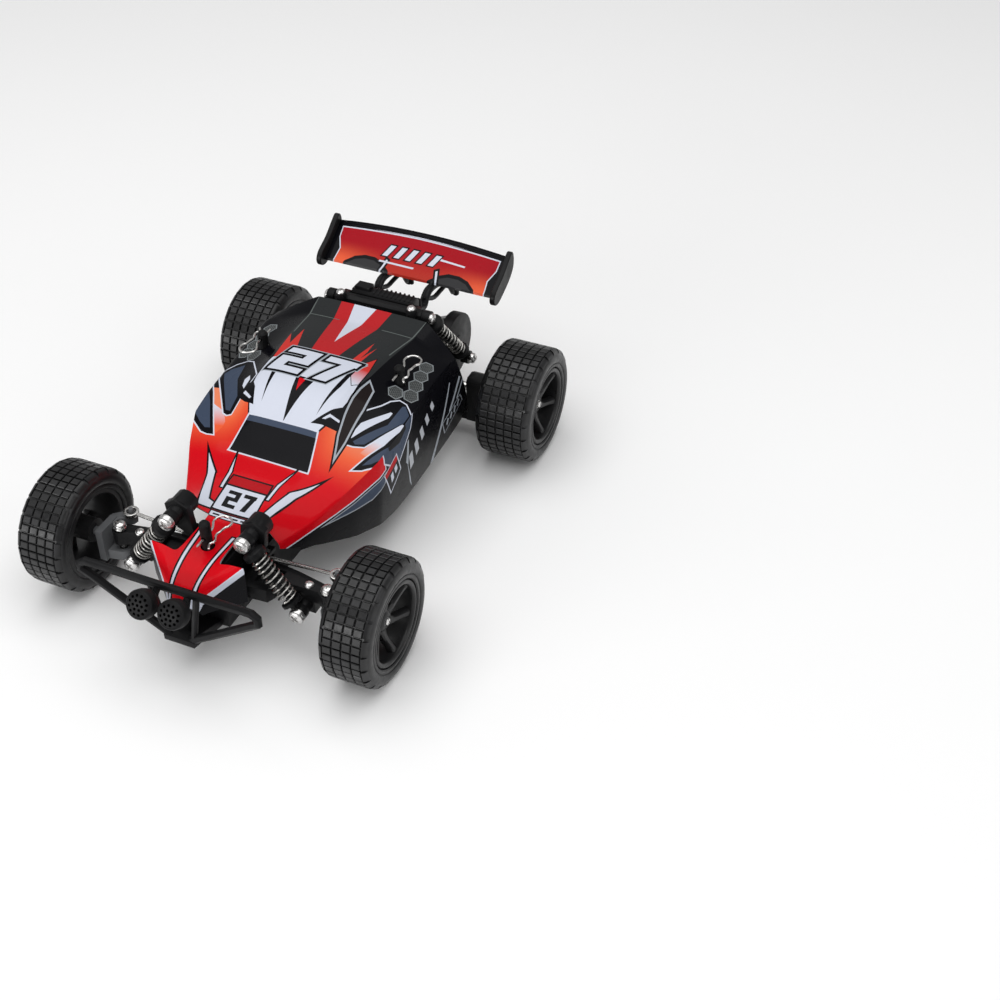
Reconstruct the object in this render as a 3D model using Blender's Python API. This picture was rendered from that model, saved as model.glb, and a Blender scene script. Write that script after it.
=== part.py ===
"""A 1:20 radio-controlled racing buggy: chassis tub, sprung front arms with steering knuckles, a swinging
rear drive unit with its gear train, a thin clip-on body shell, a rear wing and a tubular front bumper.

Car coordinates are millimetres: X to the car's left, Y backwards from the front axle, Z up from the ground.
place() turns them into world metres, with the middle of the car's length at the origin.
"""

import math

import bmesh
import bpy
from mathutils import Matrix, Vector

MM = 0.001
SIDES = ((1, "left"), (-1, "right"))

# Overall layout
NOSE_Y = -44.5
TAIL_Y = 190.8
MID_Y = (NOSE_Y + TAIL_Y) / 2
REAR_AXLE_Y = 146.0

# Wheels
TYRE_RADIUS = 25.3
WHEEL_OUTER_X = 75.6
FRONT_TYRE_WIDTH = 21.0
REAR_TYRE_WIDTH = 25.0
RIM_RADIUS = 17.2
RIM_WALL = 1.6
HUB_RADIUS = 4.6
HUB_OUTER_X = 71.0
SPOKES = 6
SPOKE_RISE = 3.2
AXLE_RADIUS = 1.8
AXLE_END_X = 70.8

# Gap between neighbouring pieces
FIT = 0.3

# Chassis tub
FLOOR_Z = 9.0
FLOOR_TOP_Z = 11.2
TUB_TOP_Z = 30.0
TUB_WALL = 2.0
BULKHEAD_HALF = 9.4
DOOR_HALF_WIDTH = 10.0
DOOR_FRONT_Y = 46.0
DOOR_REAR_Y = 104.0
SWITCH_X = -22.0
SWITCH_Y = 80.0

# Front suspension and steering
ARM_PIVOT = (13.0, 24.0)
ARM_FRONT_Y = -7.0
ARM_REAR_Y = 10.0
KINGPIN = (45.7, 1.8)
ARM_BOTTOM_Z = 22.5
ARM_TOP_Z = 28.5
LEVER_Y = 9.8
TIE_ROD_Z = 30.6
TIE_ROD_INNER = (15.0, 8.0)
PIN_RADIUS = 1.2
PIN_BORE = 1.5
SERVO_AXIS_Y = 20.0
STEERING_BAR_Y = 7.5
STEERING_BAR_Z = (32.2, 33.8)
STEERING_BAR_HALF = 18.4
BALL_HOLE_RADIUS = 3.0

# Shock absorbers: upper and lower eye centres
FRONT_SHOCK_Y = -4.0
FRONT_SHOCK_TOP = (16.2, FRONT_SHOCK_Y, 48.1)
FRONT_SHOCK_BOTTOM = (36.4, FRONT_SHOCK_Y, 20.2)
REAR_SHOCK_TOP = (22.6, 137.5, 62.2)
REAR_SHOCK_BOTTOM = (31.8, 156.5, 33.0)
EYE_WIDTH = 3.4
EYE_RADIUS = 3.2
EYE_PIN = 1.1
STEM_START = 13.6
SEAT_RADIUS = 4.1

# Rear drive unit
DRIVE_PIVOT = (112.0, 24.0)
COUNTER_AXIS = (162.0, 33.5)
GEAR_MODULE = math.dist((REAR_AXLE_Y, TYRE_RADIUS), COUNTER_AXIS) * 2 / 36
AXLE_TEETH = 24
COUNTER_SMALL_TEETH = 12
COUNTER_BIG_TEETH = 24
PINION_TEETH = 8
MOTOR_ANGLE = math.radians(156)
MOTOR_DISTANCE = GEAR_MODULE * (COUNTER_BIG_TEETH + PINION_TEETH) / 2
MOTOR_AXIS = (
    COUNTER_AXIS[0] + MOTOR_DISTANCE * math.cos(MOTOR_ANGLE),
    COUNTER_AXIS[1] + MOTOR_DISTANCE * math.sin(MOTOR_ANGLE),
)
INNER_GEAR_X = (16.8, 19.8)
OUTER_GEAR_X = (20.5, 22.8)

# Body shell and its clips
SHELL_THICKNESS = 1.0
POST_RADIUS = 2.2
FRONT_POST = (0.0, -5.0)
REAR_POST = (31.5, 93.5)
FRONT_POST_Z = (38.7, 53.0)
REAR_POST_Z = (30.3, 68.0)
FRONT_CLIP_Z = 46.0
REAR_CLIP_Z = 65.0
CLIP_WIRE = 0.5
CLIP_LOOP_RADIUS = 3.4

BLACK_PLASTIC = ("black_plastic", (0.012, 0.012, 0.013), 0.45, 0.0)
GREY_PLASTIC = ("grey_plastic", (0.16, 0.165, 0.17), 0.5, 0.0)
WHITE_PLASTIC = ("white_plastic", (0.72, 0.71, 0.66), 0.5, 0.0)
RUBBER = ("tyre_rubber", (0.014, 0.014, 0.014), 0.8, 0.0)
STEEL = ("steel", (0.62, 0.62, 0.6), 0.28, 1.0)
SHELL_FILM = ("shell_film", (0.62, 0.012, 0.016), 0.22, 0.0)
BOARD_GREEN = ("board_green", (0.02, 0.16, 0.06), 0.5, 0.0)
CELL_GREEN = ("cell_wrap", (0.35, 0.75, 0.32), 0.4, 0.0)
LAMP_GREY = ("lamp_grey", (0.03, 0.03, 0.032), 0.4, 0.0)


def clear_scene():
    for item in list(bpy.data.objects):
        bpy.data.objects.remove(item, do_unlink=True)


def place(x, y, z):
    return Vector((x, y - MID_Y, z)) * MM


def material(kind):
    name, colour, roughness, metallic = kind
    found = bpy.data.materials.get(name)
    if found:
        return found
    made = bpy.data.materials.new(name)
    made.use_nodes = True
    shader = made.node_tree.nodes["Principled BSDF"]
    shader.inputs["Base Color"].default_value = (*colour, 1.0)
    shader.inputs["Roughness"].default_value = roughness
    shader.inputs["Metallic"].default_value = metallic
    return made


def add_object(name, shape, kind, origin):
    """Turns a bmesh in car millimetres into an object whose origin is at the given car point."""
    bmesh.ops.recalc_face_normals(shape, faces=shape.faces)
    centre = place(*origin)
    for vertex in shape.verts:
        vertex.co = place(*vertex.co) - centre
    mesh = bpy.data.meshes.new(name)
    shape.to_mesh(mesh)
    shape.free()
    mesh.materials.append(material(kind))
    mesh.shade_smooth()
    mesh.set_sharp_from_angle(angle=math.radians(35))
    made = bpy.data.objects.new(name, mesh)
    made.location = centre
    bpy.context.scene.collection.objects.link(made)
    return made


def make(name, kind, origin, adds, cuts=()):
    """One solid: the first shape, joined with the other adds, less the cuts."""
    main = add_object(name, adds[0], kind, origin)
    steps = [("UNION", shape) for shape in adds[1:]] + [("DIFFERENCE", shape) for shape in cuts]
    for number, (operation, shape) in enumerate(steps):
        helper = add_object(f"{name}_tool{number}", shape, kind, origin)
        helper.hide_render = True
        helper.display_type = "WIRE"
        modifier = main.modifiers.new(f"{operation.lower()}{number}", "BOOLEAN")
        modifier.operation = operation
        modifier.object = helper
    return main


def prism(outline, low, high, axis):
    """An outline swept along X, Y or Z. The outline holds the other two coordinates in order."""
    shape = bmesh.new()

    def point(pair, along):
        coordinates = list(pair)
        coordinates.insert("XYZ".index(axis), along)
        return shape.verts.new(coordinates)

    bottom = [point(pair, low) for pair in outline]
    top = [point(pair, high) for pair in outline]
    shape.faces.new(bottom)
    shape.faces.new(reversed(top))
    for i in range(len(outline)):
        j = (i + 1) % len(outline)
        shape.faces.new((bottom[i], top[i], top[j], bottom[j]))
    return shape


def box(x0, x1, y0, y1, z0, z1):
    return prism([(x0, y0), (x1, y0), (x1, y1), (x0, y1)], z0, z1, "Z")


def side_box(side, x0, x1, y0, y1, z0, z1):
    return box(*sorted((side * x0, side * x1)), y0, y1, z0, z1)


def frame_along(start, end):
    """A rotation that turns +Z towards end from start."""
    return (Vector(end) - Vector(start)).to_track_quat("Z", "Y").to_matrix().to_4x4()


def turned(start, end, profile, sides=20):
    """A solid of revolution about the line from start to end. The profile holds (radius, distance) pairs
    with no point on the axis; its first and last rings are capped, unless they meet as a closed ring."""
    shape = bmesh.new()
    rotation = frame_along(start, end)
    rings = []
    for radius, along in profile:
        ring = []
        for i in range(sides):
            angle = 2 * math.pi * i / sides
            local = Vector((radius * math.cos(angle), radius * math.sin(angle), along))
            ring.append(shape.verts.new(Vector(start) + rotation.to_3x3() @ local))
        rings.append(ring)
    for lower, upper in zip(rings, rings[1:]):
        for i in range(sides):
            j = (i + 1) % sides
            shape.faces.new((lower[i], lower[j], upper[j], upper[i]))
    shape.faces.new(reversed(rings[0]))
    shape.faces.new(rings[-1])
    return shape


def hoop(start, end, profile, sides=24):
    """A ring of revolution: the closed profile of (radius, distance) pairs turned about the line."""
    shape = bmesh.new()
    rotation = frame_along(start, end).to_3x3()
    rings = []
    for i in range(sides):
        angle = 2 * math.pi * i / sides
        ring = []
        for radius, along in profile:
            local = Vector((radius * math.cos(angle), radius * math.sin(angle), along))
            ring.append(shape.verts.new(Vector(start) + rotation @ local))
        rings.append(ring)
    for i in range(sides):
        here, after = rings[i], rings[(i + 1) % sides]
        for j in range(len(profile)):
            k = (j + 1) % len(profile)
            shape.faces.new((here[j], after[j], after[k], here[k]))
    return shape


def rod(start, end, radius, sides=12):
    length = (Vector(end) - Vector(start)).length
    return turned(start, end, [(radius, 0), (radius, length)], sides)


def tube(points, radius, sides=6):
    """A bent round wire through the points, with flat ends."""
    shape = bmesh.new()
    points = [Vector(point) for point in points]
    rings = []
    side_way = None
    for i, point in enumerate(points):
        ahead = points[min(i + 1, len(points) - 1)] - points[max(i - 1, 0)]
        ahead.normalize()
        if side_way is None:
            side_way = ahead.orthogonal().normalized()
        side_way = (side_way - ahead * side_way.dot(ahead)).normalized()
        up_way = ahead.cross(side_way)
        ring = []
        for j in range(sides):
            angle = 2 * math.pi * j / sides
            offset = side_way * math.cos(angle) + up_way * math.sin(angle)
            ring.append(shape.verts.new(point + offset * radius))
        rings.append(ring)
    for lower, upper in zip(rings, rings[1:]):
        for i in range(sides):
            j = (i + 1) % sides
            shape.faces.new((lower[i], lower[j], upper[j], upper[i]))
    shape.faces.new(reversed(rings[0]))
    shape.faces.new(rings[-1])
    return shape


def arc(centre, radius, first_deg, last_deg, steps):
    """Points on a flat arc, as pairs."""
    points = []
    for i in range(steps + 1):
        angle = math.radians(first_deg + (last_deg - first_deg) * i / steps)
        points.append((centre[0] + radius * math.cos(angle), centre[1] + radius * math.sin(angle)))
    return points


def along(start, end, distance):
    """The point this far from start towards end."""
    return Vector(start) + (Vector(end) - Vector(start)).normalized() * distance


def mirrored(point, side):
    return (side * point[0], point[1], point[2])


# Chassis


def chassis_tub():
    outline = [(12.6, 12), (12.6, 37), (23, 51), (30, 59), (35.5, 69), (35.5, 98), (27, 106)]
    outer = outline + [(-x, y) for x, y in reversed(outline)]
    inset = [(10.6, 15.5), (10.6, 38), (21.6, 52.6), (28.4, 60.4), (33.5, 69.6), (33.5, 97), (26, 104)]
    inner = inset + [(-x, y) for x, y in reversed(inset)]
    adds = [
        prism(outer, FLOOR_Z, TUB_TOP_Z, "Z"),
        box(-BULKHEAD_HALF, BULKHEAD_HALF, -12, 15.5, FLOOR_Z, TUB_TOP_Z),
    ]
    through_floor = (FLOOR_Z - 2, FLOOR_TOP_Z + 1)
    cuts = [
        prism(inner, FLOOR_TOP_Z, TUB_TOP_Z + 5, "Z"),
        box(-DOOR_HALF_WIDTH, DOOR_HALF_WIDTH, DOOR_FRONT_Y, DOOR_REAR_Y - 0.8, *through_floor),
        box(SWITCH_X - 2, SWITCH_X + 2, SWITCH_Y - 4, SWITCH_Y + 8, *through_floor),
    ]
    for side in (-1, 1):
        adds.append(side_box(side, 8, 16.4, -11, ARM_FRONT_Y - FIT, 20.5, 27.6))
        adds.append(side_box(side, 8, 16.4, ARM_REAR_Y + FIT, 13.4, 20.5, 27.6))
        adds.append(side_box(side, 21, 24.4, 103, 115.5, 19.5, 28.5))
        adds.append(side_box(side, 26.5, 35, 94, 103, 26, TUB_TOP_Z - 0.4))
        pivot_x = side * ARM_PIVOT[0]
        cuts.append(rod((pivot_x, -14, ARM_PIVOT[1]), (pivot_x, 16, ARM_PIVOT[1]), PIN_BORE, 10))
    cuts.append(rod((-28, *DRIVE_PIVOT), (28, *DRIVE_PIVOT), PIN_BORE, 10))
    make("chassis_tub", BLACK_PLASTIC, (0, 60, FLOOR_Z), adds, cuts)


def hinge_pins():
    for side, name in SIDES:
        x, z = side * ARM_PIVOT[0], ARM_PIVOT[1]
        pin = rod((x, -11.5, z), (x, 13.8, z), PIN_RADIUS, 10)
        make(f"front_hinge_pin_{name}", STEEL, (x, 0, z), [pin])
    pin = rod((-25, *DRIVE_PIVOT), (25, *DRIVE_PIVOT), PIN_RADIUS, 10)
    make("rear_hinge_pin", STEEL, (0, *DRIVE_PIVOT), [pin])


def front_tower():
    plate_back, plate_front = 4.0, 1.0
    base_top = 38.4
    adds = [box(-9, 9, -11, 2.6, TUB_TOP_Z + FIT, base_top)]
    for side in (-1, 1):
        horn = [(5, 31), (10, 36), (20.5, 41.5), (21.5, 50)]
        horn += [(17, 53), (11.5, 50.5), (10.2, 39.5), (5, 38)]
        adds.append(prism([(side * x, z) for x, z in horn], plate_front, plate_back, "Y"))
        x, z = side * FRONT_SHOCK_TOP[0], FRONT_SHOCK_TOP[2]
        adds.append(rod((x, 2, z), (x, 8.6, z), 4.7, 14))
        adds.append(rod((x, FRONT_SHOCK_Y + EYE_WIDTH / 2 + FIT, z), (x, 2, z), 3.0, 12))
        adds.append(rod((x, FRONT_SHOCK_Y - EYE_WIDTH / 2 - FIT, z), (x, 3, z), EYE_PIN, 10))
    make("front_tower", BLACK_PLASTIC, (0, 0, TUB_TOP_Z), adds)


def front_bumper():
    bar_radius = 1.7
    nose_plate = [(-12.3, 9.3), (-12.3, 12), (-27, 17.5), (-31, 16.5), (-31, 14), (-27, 13)]
    adds = [prism(nose_plate, -6.5, 6.5, "X")]
    for side in (-1, 1):
        loop = [(-1, -29, 40), (20, -29, 40), (31, -31, 42.6), (35, -32, 43.6), (37.4, -32.3, 42.2)]
        loop += [(37.4, -32.3, 39.8), (35, -31.8, 38), (20, -30.4, 27), (4, -29, 15.5)]
        adds.append(tube([mirrored(point, side) for point in loop], bar_radius, 7))
        post = [(10, -29, 40.5), (5.6, -29.3, 15.5)]
        adds.append(tube([mirrored(point, side) for point in post], 1.3, 6))
        bracket = [(6.5, -28.5, 39.6), (6.5, -32.8, 36.2)]
        adds.append(tube([mirrored(point, side) for point in bracket], 1.5, 6))
    make("front_bumper", BLACK_PLASTIC, (0, -12, FLOOR_Z), adds)


def bumper_lamps():
    for side, name in SIDES:
        back, front = (side * 6.6, -34.9, 36.4), (side * 6.6, -41.6, 40.4)
        length = math.dist(back, front)
        profile = [(3.0, 0), (5.2, 1.6), (5.7, length - 0.6), (5.2, length)]
        make(f"bumper_lamp_{name}", LAMP_GREY, back, [turned(back, front, profile, 16)])


def rear_tower():
    leg = [(98, 30.3), (108, 30.3), (126, 47), (134.5, 53.2), (142.5, 55), (143.6, 60), (142, 64)]
    leg += [(134, 65.4), (131.6, 58.6), (120, 54), (98, 36)]
    leg_inner_x, leg_outer_x = 15.6, 18.6
    eye_half = EYE_WIDTH / 2
    bar_y, bar_z = REAR_SHOCK_TOP[1:]
    adds = []
    for side in (-1, 1):
        adds.append(prism(leg, *sorted((side * leg_inner_x, side * leg_outer_x)), "X"))
    bar_end = REAR_SHOCK_TOP[0] - eye_half - FIT
    adds.append(rod((-bar_end, bar_y, bar_z), (bar_end, bar_y, bar_z), 3.0, 10))
    adds.append(rod((-leg_outer_x, 142, 61), (leg_outer_x, 142, 61), 2.4, 10))
    adds.append(box(-leg_outer_x, leg_outer_x, 99, 102.5, 31, 35.5))
    cover = [(140.4, 58.8), (147.2, 58.8), (147.2, 63.4), (145.6, 65.4), (141.4, 65.4), (140.4, 64.2)]
    adds.append(prism(cover, -15, 14, "X"))
    adds.append(box(-13.6, -6.8, 141.6, 146, 64, 67))
    for side in (-1, 1):
        adds.append(rod((side * 16.8, 134.4, 63.6), (side * 16.8, 134.4, 67), 2.4, 10))
        pin_end = side * (REAR_SHOCK_TOP[0] + eye_half + 0.5)
        adds.append(rod((side * 17, bar_y, bar_z), (pin_end, bar_y, bar_z), EYE_PIN, 10))
    make("rear_tower", BLACK_PLASTIC, (0, 100, TUB_TOP_Z), adds)


def wing_mount():
    plate = [(147.6, 56), (150, 55.6), (158, 57), (164, 51), (172, 51)]
    plate += [(180, 50), (186, 40.5), (190.4, 40.5), (TAIL_Y, 52), (187.5, 60)]
    plate += [(181, 64.6), (177, 64.6), (166, 58.7), (160, 62), (148.4, 62)]
    window = [(183, 56.5), (186, 50), (187, 43), (187.4, 50), (185, 58)]
    loop = [(167, 55), (171, 54.2), (177, 54.4), (179, 57.8), (176, 60.4), (169, 57.4)]
    adds, cuts = [], []
    for side in (-1, 1):
        adds.append(prism(plate, *sorted((side * 10.6, side * 13)), "X"))
        cuts.append(prism(loop, *sorted((side * 8, side * 15)), "X"))
        cuts.append(prism(window, *sorted((side * 8, side * 15)), "X"))
    adds.append(box(-12, 12, 186.6, 189.4, 52, 55))
    adds.append(rod((-12, 150.5, 59), (12, 150.5, 59), 1.9, 8))
    make("wing_mount", BLACK_PLASTIC, (0, 150, 58), adds, cuts)


WING_HALF = 41.6
WING_STATIONS = 9
WING_ARCH = 2.6
END_PLATE_WIDTH = 2.2


def wing_blade():
    """The blade: a cambered section whose rear edge rises towards the middle of the span."""
    shape = bmesh.new()
    rings = []
    for i in range(WING_STATIONS):
        x = WING_HALF * (2 * i / (WING_STATIONS - 1) - 1)
        rise = WING_ARCH * (1 - (x / WING_HALF) ** 2)
        section = [(164, 61.2), (165.6, 60.2), (173, 64.2 + rise * 0.4), (181.6, 71.2 + rise)]
        section += [(181, 72.8 + rise), (172.4, 66.2 + rise * 0.4), (165.2, 62.4)]
        rings.append([shape.verts.new((x, y, z)) for y, z in section])
    for here, after in zip(rings, rings[1:]):
        for j in range(len(here)):
            k = (j + 1) % len(here)
            shape.faces.new((here[j], after[j], after[k], here[k]))
    shape.faces.new(rings[0])
    shape.faces.new(reversed(rings[-1]))
    return shape


def rear_wing():
    end_plate = [(160.4, 62), (161, 59.6), (164, 58), (168, 58.8), (177, 62.6), (181.6, 66.4)]
    end_plate += [(182.8, 70), (182.2, 75), (180.6, 76.4), (178.4, 75.6), (170, 69.6), (162.4, 66)]
    inner_x, outer_x = WING_HALF - 0.4, WING_HALF + END_PLATE_WIDTH
    adds = [wing_blade()]
    for side in (-1, 1):
        adds.append(prism(end_plate, *sorted((side * inner_x, side * outer_x)), "X"))
    make("rear_wing", BLACK_PLASTIC, (0, 170, 64), adds)


# Body shell

# Across half the car: centre, bay edge, hood, roof ridge, shoulder, shoulder edge, side, lower edge
SHELL_ROWS = [
    # under the nose
    [(0, -27, 30), (3, -27, 30), (4.2, -26.8, 30), (5, -26.5, 29.5),
     (6, -26, 28.8), (6.8, -25.6, 28), (7.2, -25, 26.8), (7.5, -24.5, 25.5)],
    # nose tip
    [(0, -24, 37), (3.2, -24, 37), (4.6, -23.9, 36.8), (5.6, -23.8, 36.2),
     (6.8, -23.6, 35), (7.6, -23.4, 33.5), (8.1, -23.2, 30), (8.6, -23, 26)],
    # rear edge of the nose, in front of the shocks
    [(0, -12.5, 40.6), (8.5, -12.5, 41.4), (11, -12.5, 42.2), (14, -12.5, 43),
     (17.5, -12.5, 43.4), (20, -12.5, 43.2), (20.4, -12.6, 35), (20, -12.8, 27)],
    # front edge of the body, behind the shocks
    [(0, 10, 41.8), (8.5, 10, 42.2), (12, 10, 43.2), (15.5, 10.2, 44.4),
     (18.4, 10, 40.8), (21, 10, 37.4), (21.4, 10, 36.2), (21.4, 10, 35)],
    # hood
    [(0, 24, 47), (8.5, 24, 47), (12.5, 24, 46.8), (17, 24, 46.4),
     (23, 24, 43), (28.2, 24, 39), (28.8, 24, 33), (28.6, 24, 27.5)],
    # foot of the windshield
    [(0, 41, 48.5), (8.5, 41, 48.5), (13, 41, 48.4), (17.2, 41, 48.4),
     (27, 41, 49), (36.5, 41, 46.5), (37.3, 41, 34), (36.8, 41, 22)],
    # top of the windshield
    [(0, 54, 58.4), (8.5, 54, 58.4), (12.5, 54, 58.3), (15.3, 54, 58),
     (28, 54, 52.5), (41.5, 54, 51.2), (42.2, 54, 35), (40.5, 54, 18.8)],
    # roof
    [(0, 64, 64.6), (8.5, 64, 64.8), (13, 64, 64.8), (17.8, 64, 64),
     (30, 64, 56), (42.3, 64, 53), (43, 64, 35), (40.5, 64, 16.2)],
    [(0, 75, 67), (9, 75, 67), (14, 75, 66.9), (19.2, 75, 66.2),
     (31, 75, 58.5), (42.4, 75, 54.4), (43, 75, 35), (40.2, 75, 14.6)],
    [(0, 100, 66.2), (10, 100, 66.2), (16, 100, 66), (22, 100, 65.2),
     (32, 100, 61), (42.4, 100, 58), (43, 100, 35), (40.2, 100, 15.4)],
    # crease ahead of the rear lip
    [(0, 120, 63.2), (11, 120, 63.2), (18, 120, 63.1), (24, 120, 62.8),
     (33.5, 118, 60), (43, 114, 58.4), (43.4, 118, 38), (40.2, 120, 16.6)],
    # rear lip
    [(0, 131, 65), (12, 131, 65), (19, 131, 64.9), (25.9, 131, 64.6),
     (34.5, 126.5, 61), (43, 121.5, 57.2), (43, 131, 38), (40.2, 139.4, 18.4)],
]
BAY_ROW = 2
BAY_EDGE_COLUMN = 1


def body_shell():
    """A thin skin over the car, narrow where the front towers stand, with holes for the clip posts."""
    shape = bmesh.new()
    grid = []
    for row in SHELL_ROWS:
        whole = [(-x, y, z) for x, y, z in reversed(row[1:])] + row
        grid.append([shape.verts.new(point) for point in whole])
    middle = len(SHELL_ROWS[0]) - 1
    for r in range(len(grid) - 1):
        for c in range(2 * middle):
            outside_bay = c < middle - BAY_EDGE_COLUMN or c >= middle + BAY_EDGE_COLUMN
            if r == BAY_ROW and outside_bay:
                continue
            shape.faces.new((grid[r][c], grid[r][c + 1], grid[r + 1][c + 1], grid[r + 1][c]))
    for vertex in [v for v in shape.verts if not v.link_faces]:
        shape.verts.remove(vertex)
    shell = add_object("body_shell", shape, SHELL_FILM, (0, 60, 60))
    if shell.data.polygons[0].normal.z < 0:
        shell.data.flip_normals()
    skin = shell.modifiers.new("skin", "SOLIDIFY")
    skin.thickness = SHELL_THICKNESS * MM
    skin.offset = -1
    skin.use_even_offset = True
    holes = [(*FRONT_POST, 30, 55), (*REAR_POST, 50, 75), (-REAR_POST[0], REAR_POST[1], 50, 75)]
    for number, (x, y, low, high) in enumerate(holes):
        bore = rod((x, y, low), (x, y, high), POST_RADIUS + 0.5, 12)
        helper = add_object(f"post_hole{number}", bore, SHELL_FILM, (x, y, low))
        helper.hide_render = True
        helper.display_type = "WIRE"
        cut = shell.modifiers.new(f"hole{number}", "BOOLEAN")
        cut.operation = "DIFFERENCE"
        cut.object = helper


def post_places():
    """Each post's name, with its x, y, foot, top and clip heights."""
    places = [("front", *FRONT_POST, *FRONT_POST_Z, FRONT_CLIP_Z)]
    for side, name in SIDES:
        places.append((f"rear_{name}", side * REAR_POST[0], REAR_POST[1], *REAR_POST_Z, REAR_CLIP_Z))
    return places


def body_posts():
    for name, x, y, low, high, clip_z in post_places():
        length = high - low
        profile = [(3, 0), (3, 0.5), (POST_RADIUS, 0.7)]
        profile += [(POST_RADIUS, length - 1), (POST_RADIUS - 0.8, length)]
        post = turned((x, y, low), (x, y, high), profile, 12)
        hole = rod((x, y - 4, clip_z), (x, y + 4, clip_z), CLIP_WIRE + 0.4, 8)
        make(f"body_post_{name}", BLACK_PLASTIC, (x, y, low), [post], [hole])


def body_clips():
    """Spring wire clips: a straight leg through the post, a round pull and a waved leg beside it.

    The pull points backwards, except on the right rear post, where it points forwards.
    """
    for name, x, y, low, high, z in post_places():
        way = -1 if name == "rear_right" else 1
        outline = [(0, -6.4), (0, 3.4)] + arc((1.2, 9.4), CLIP_LOOP_RADIUS, 215, -35, 12)
        outline += [(3.3, 3.4), (4.4, 0.4), (3.3, -2.6), (4.6, -5.6)]
        points = [(x + way * dx, y + way * dy, z) for dx, dy in outline]
        make(f"body_clip_{name}", STEEL, (x, y, z), [tube(points, CLIP_WIRE, 6)])


# Inside the tub


def battery():
    cell = turned((0, 50, 19.2), (0, 100, 19.2), [(6.4, 0), (7, 0.6), (7, 49.4), (6.4, 50)], 18)
    make("battery_cell", CELL_GREEN, (0, 75, 19.2), [cell])
    half, front_y, rear_y = DOOR_HALF_WIDTH - FIT, DOOR_FRONT_Y + FIT, DOOR_REAR_Y - 1.1
    door = box(-half, half, front_y, rear_y, FLOOR_Z, FLOOR_Z + 1.8)
    make("battery_cover", BLACK_PLASTIC, (0, rear_y, FLOOR_Z), [door])


def electronics():
    servo = box(-8.6, 8.6, 17, 36, FLOOR_TOP_Z + FIT, 28)
    spindle = rod((0, SERVO_AXIS_Y, 27), (0, SERVO_AXIS_Y, 33.6), 1.6, 10)
    make("steering_servo", BLACK_PLASTIC, (0, SERVO_AXIS_Y, 20), [servo, spindle])
    make("receiver_board", BOARD_GREEN, (0, 76, 28), [box(-15, 15, 60, 92, 27.6, 29.2)])
    x, y = SWITCH_X, SWITCH_Y
    knob = box(x - 1.6, x + 1.6, y - 3.6, y - 0.4, FLOOR_Z - 0.8, FLOOR_TOP_Z + 2)
    make("power_switch", WHITE_PLASTIC, (x, y - 2, FLOOR_Z), [knob])


# Steering


def steering_links():
    low, high = STEERING_BAR_Z
    bar = box(-STEERING_BAR_HALF, STEERING_BAR_HALF, 4, 11.6, low, high)
    pin = rod((0, STEERING_BAR_Y, high - 0.5), (0, STEERING_BAR_Y, high + 4), PIN_RADIUS, 10)
    inner_x, inner_y = TIE_ROD_INNER
    holes = []
    for side in (-1, 1):
        x = side * inner_x
        holes.append(rod((x, inner_y, low - 2), (x, inner_y, high + 2), BALL_HOLE_RADIUS, 12))
    make("steering_bar", BLACK_PLASTIC, (0, STEERING_BAR_Y, low), [bar, pin], holes)

    hub = rod((0, SERVO_AXIS_Y, 34.1), (0, SERVO_AXIS_Y, 36.3), 3.6, 12)
    fork = [(-3.2, 19), (-3.2, 5.4), (-1.7, 5.4), (-1.7, 14)]
    fork += [(-x, y) for x, y in reversed(fork)]
    make("servo_horn", BLACK_PLASTIC, (0, SERVO_AXIS_Y, 35), [hub, prism(fork, 34.4, 36, "Z")])

    for side, name in SIDES:
        x = side * KINGPIN[0]
        section = [(2, 0), (3.1, 0), (3.1, 1.6), (2, 1.6)]
        eye = hoop((x, LEVER_Y, TIE_ROD_Z - 0.8), (x, LEVER_Y, TIE_ROD_Z + 0.8), section, 14)
        wire = [(x - side * 2.5, LEVER_Y, TIE_ROD_Z), (side * (inner_x + 2), inner_y, TIE_ROD_Z)]
        wire += [(side * (inner_x + 0.4), inner_y, TIE_ROD_Z + 0.3)]
        wire += [(side * inner_x, inner_y, TIE_ROD_Z + rise) for rise in (1.4, 4)]
        make(f"tie_rod_{name}", STEEL, (x, LEVER_Y, TIE_ROD_Z), [eye, tube(wire, 0.8, 6)])


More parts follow.
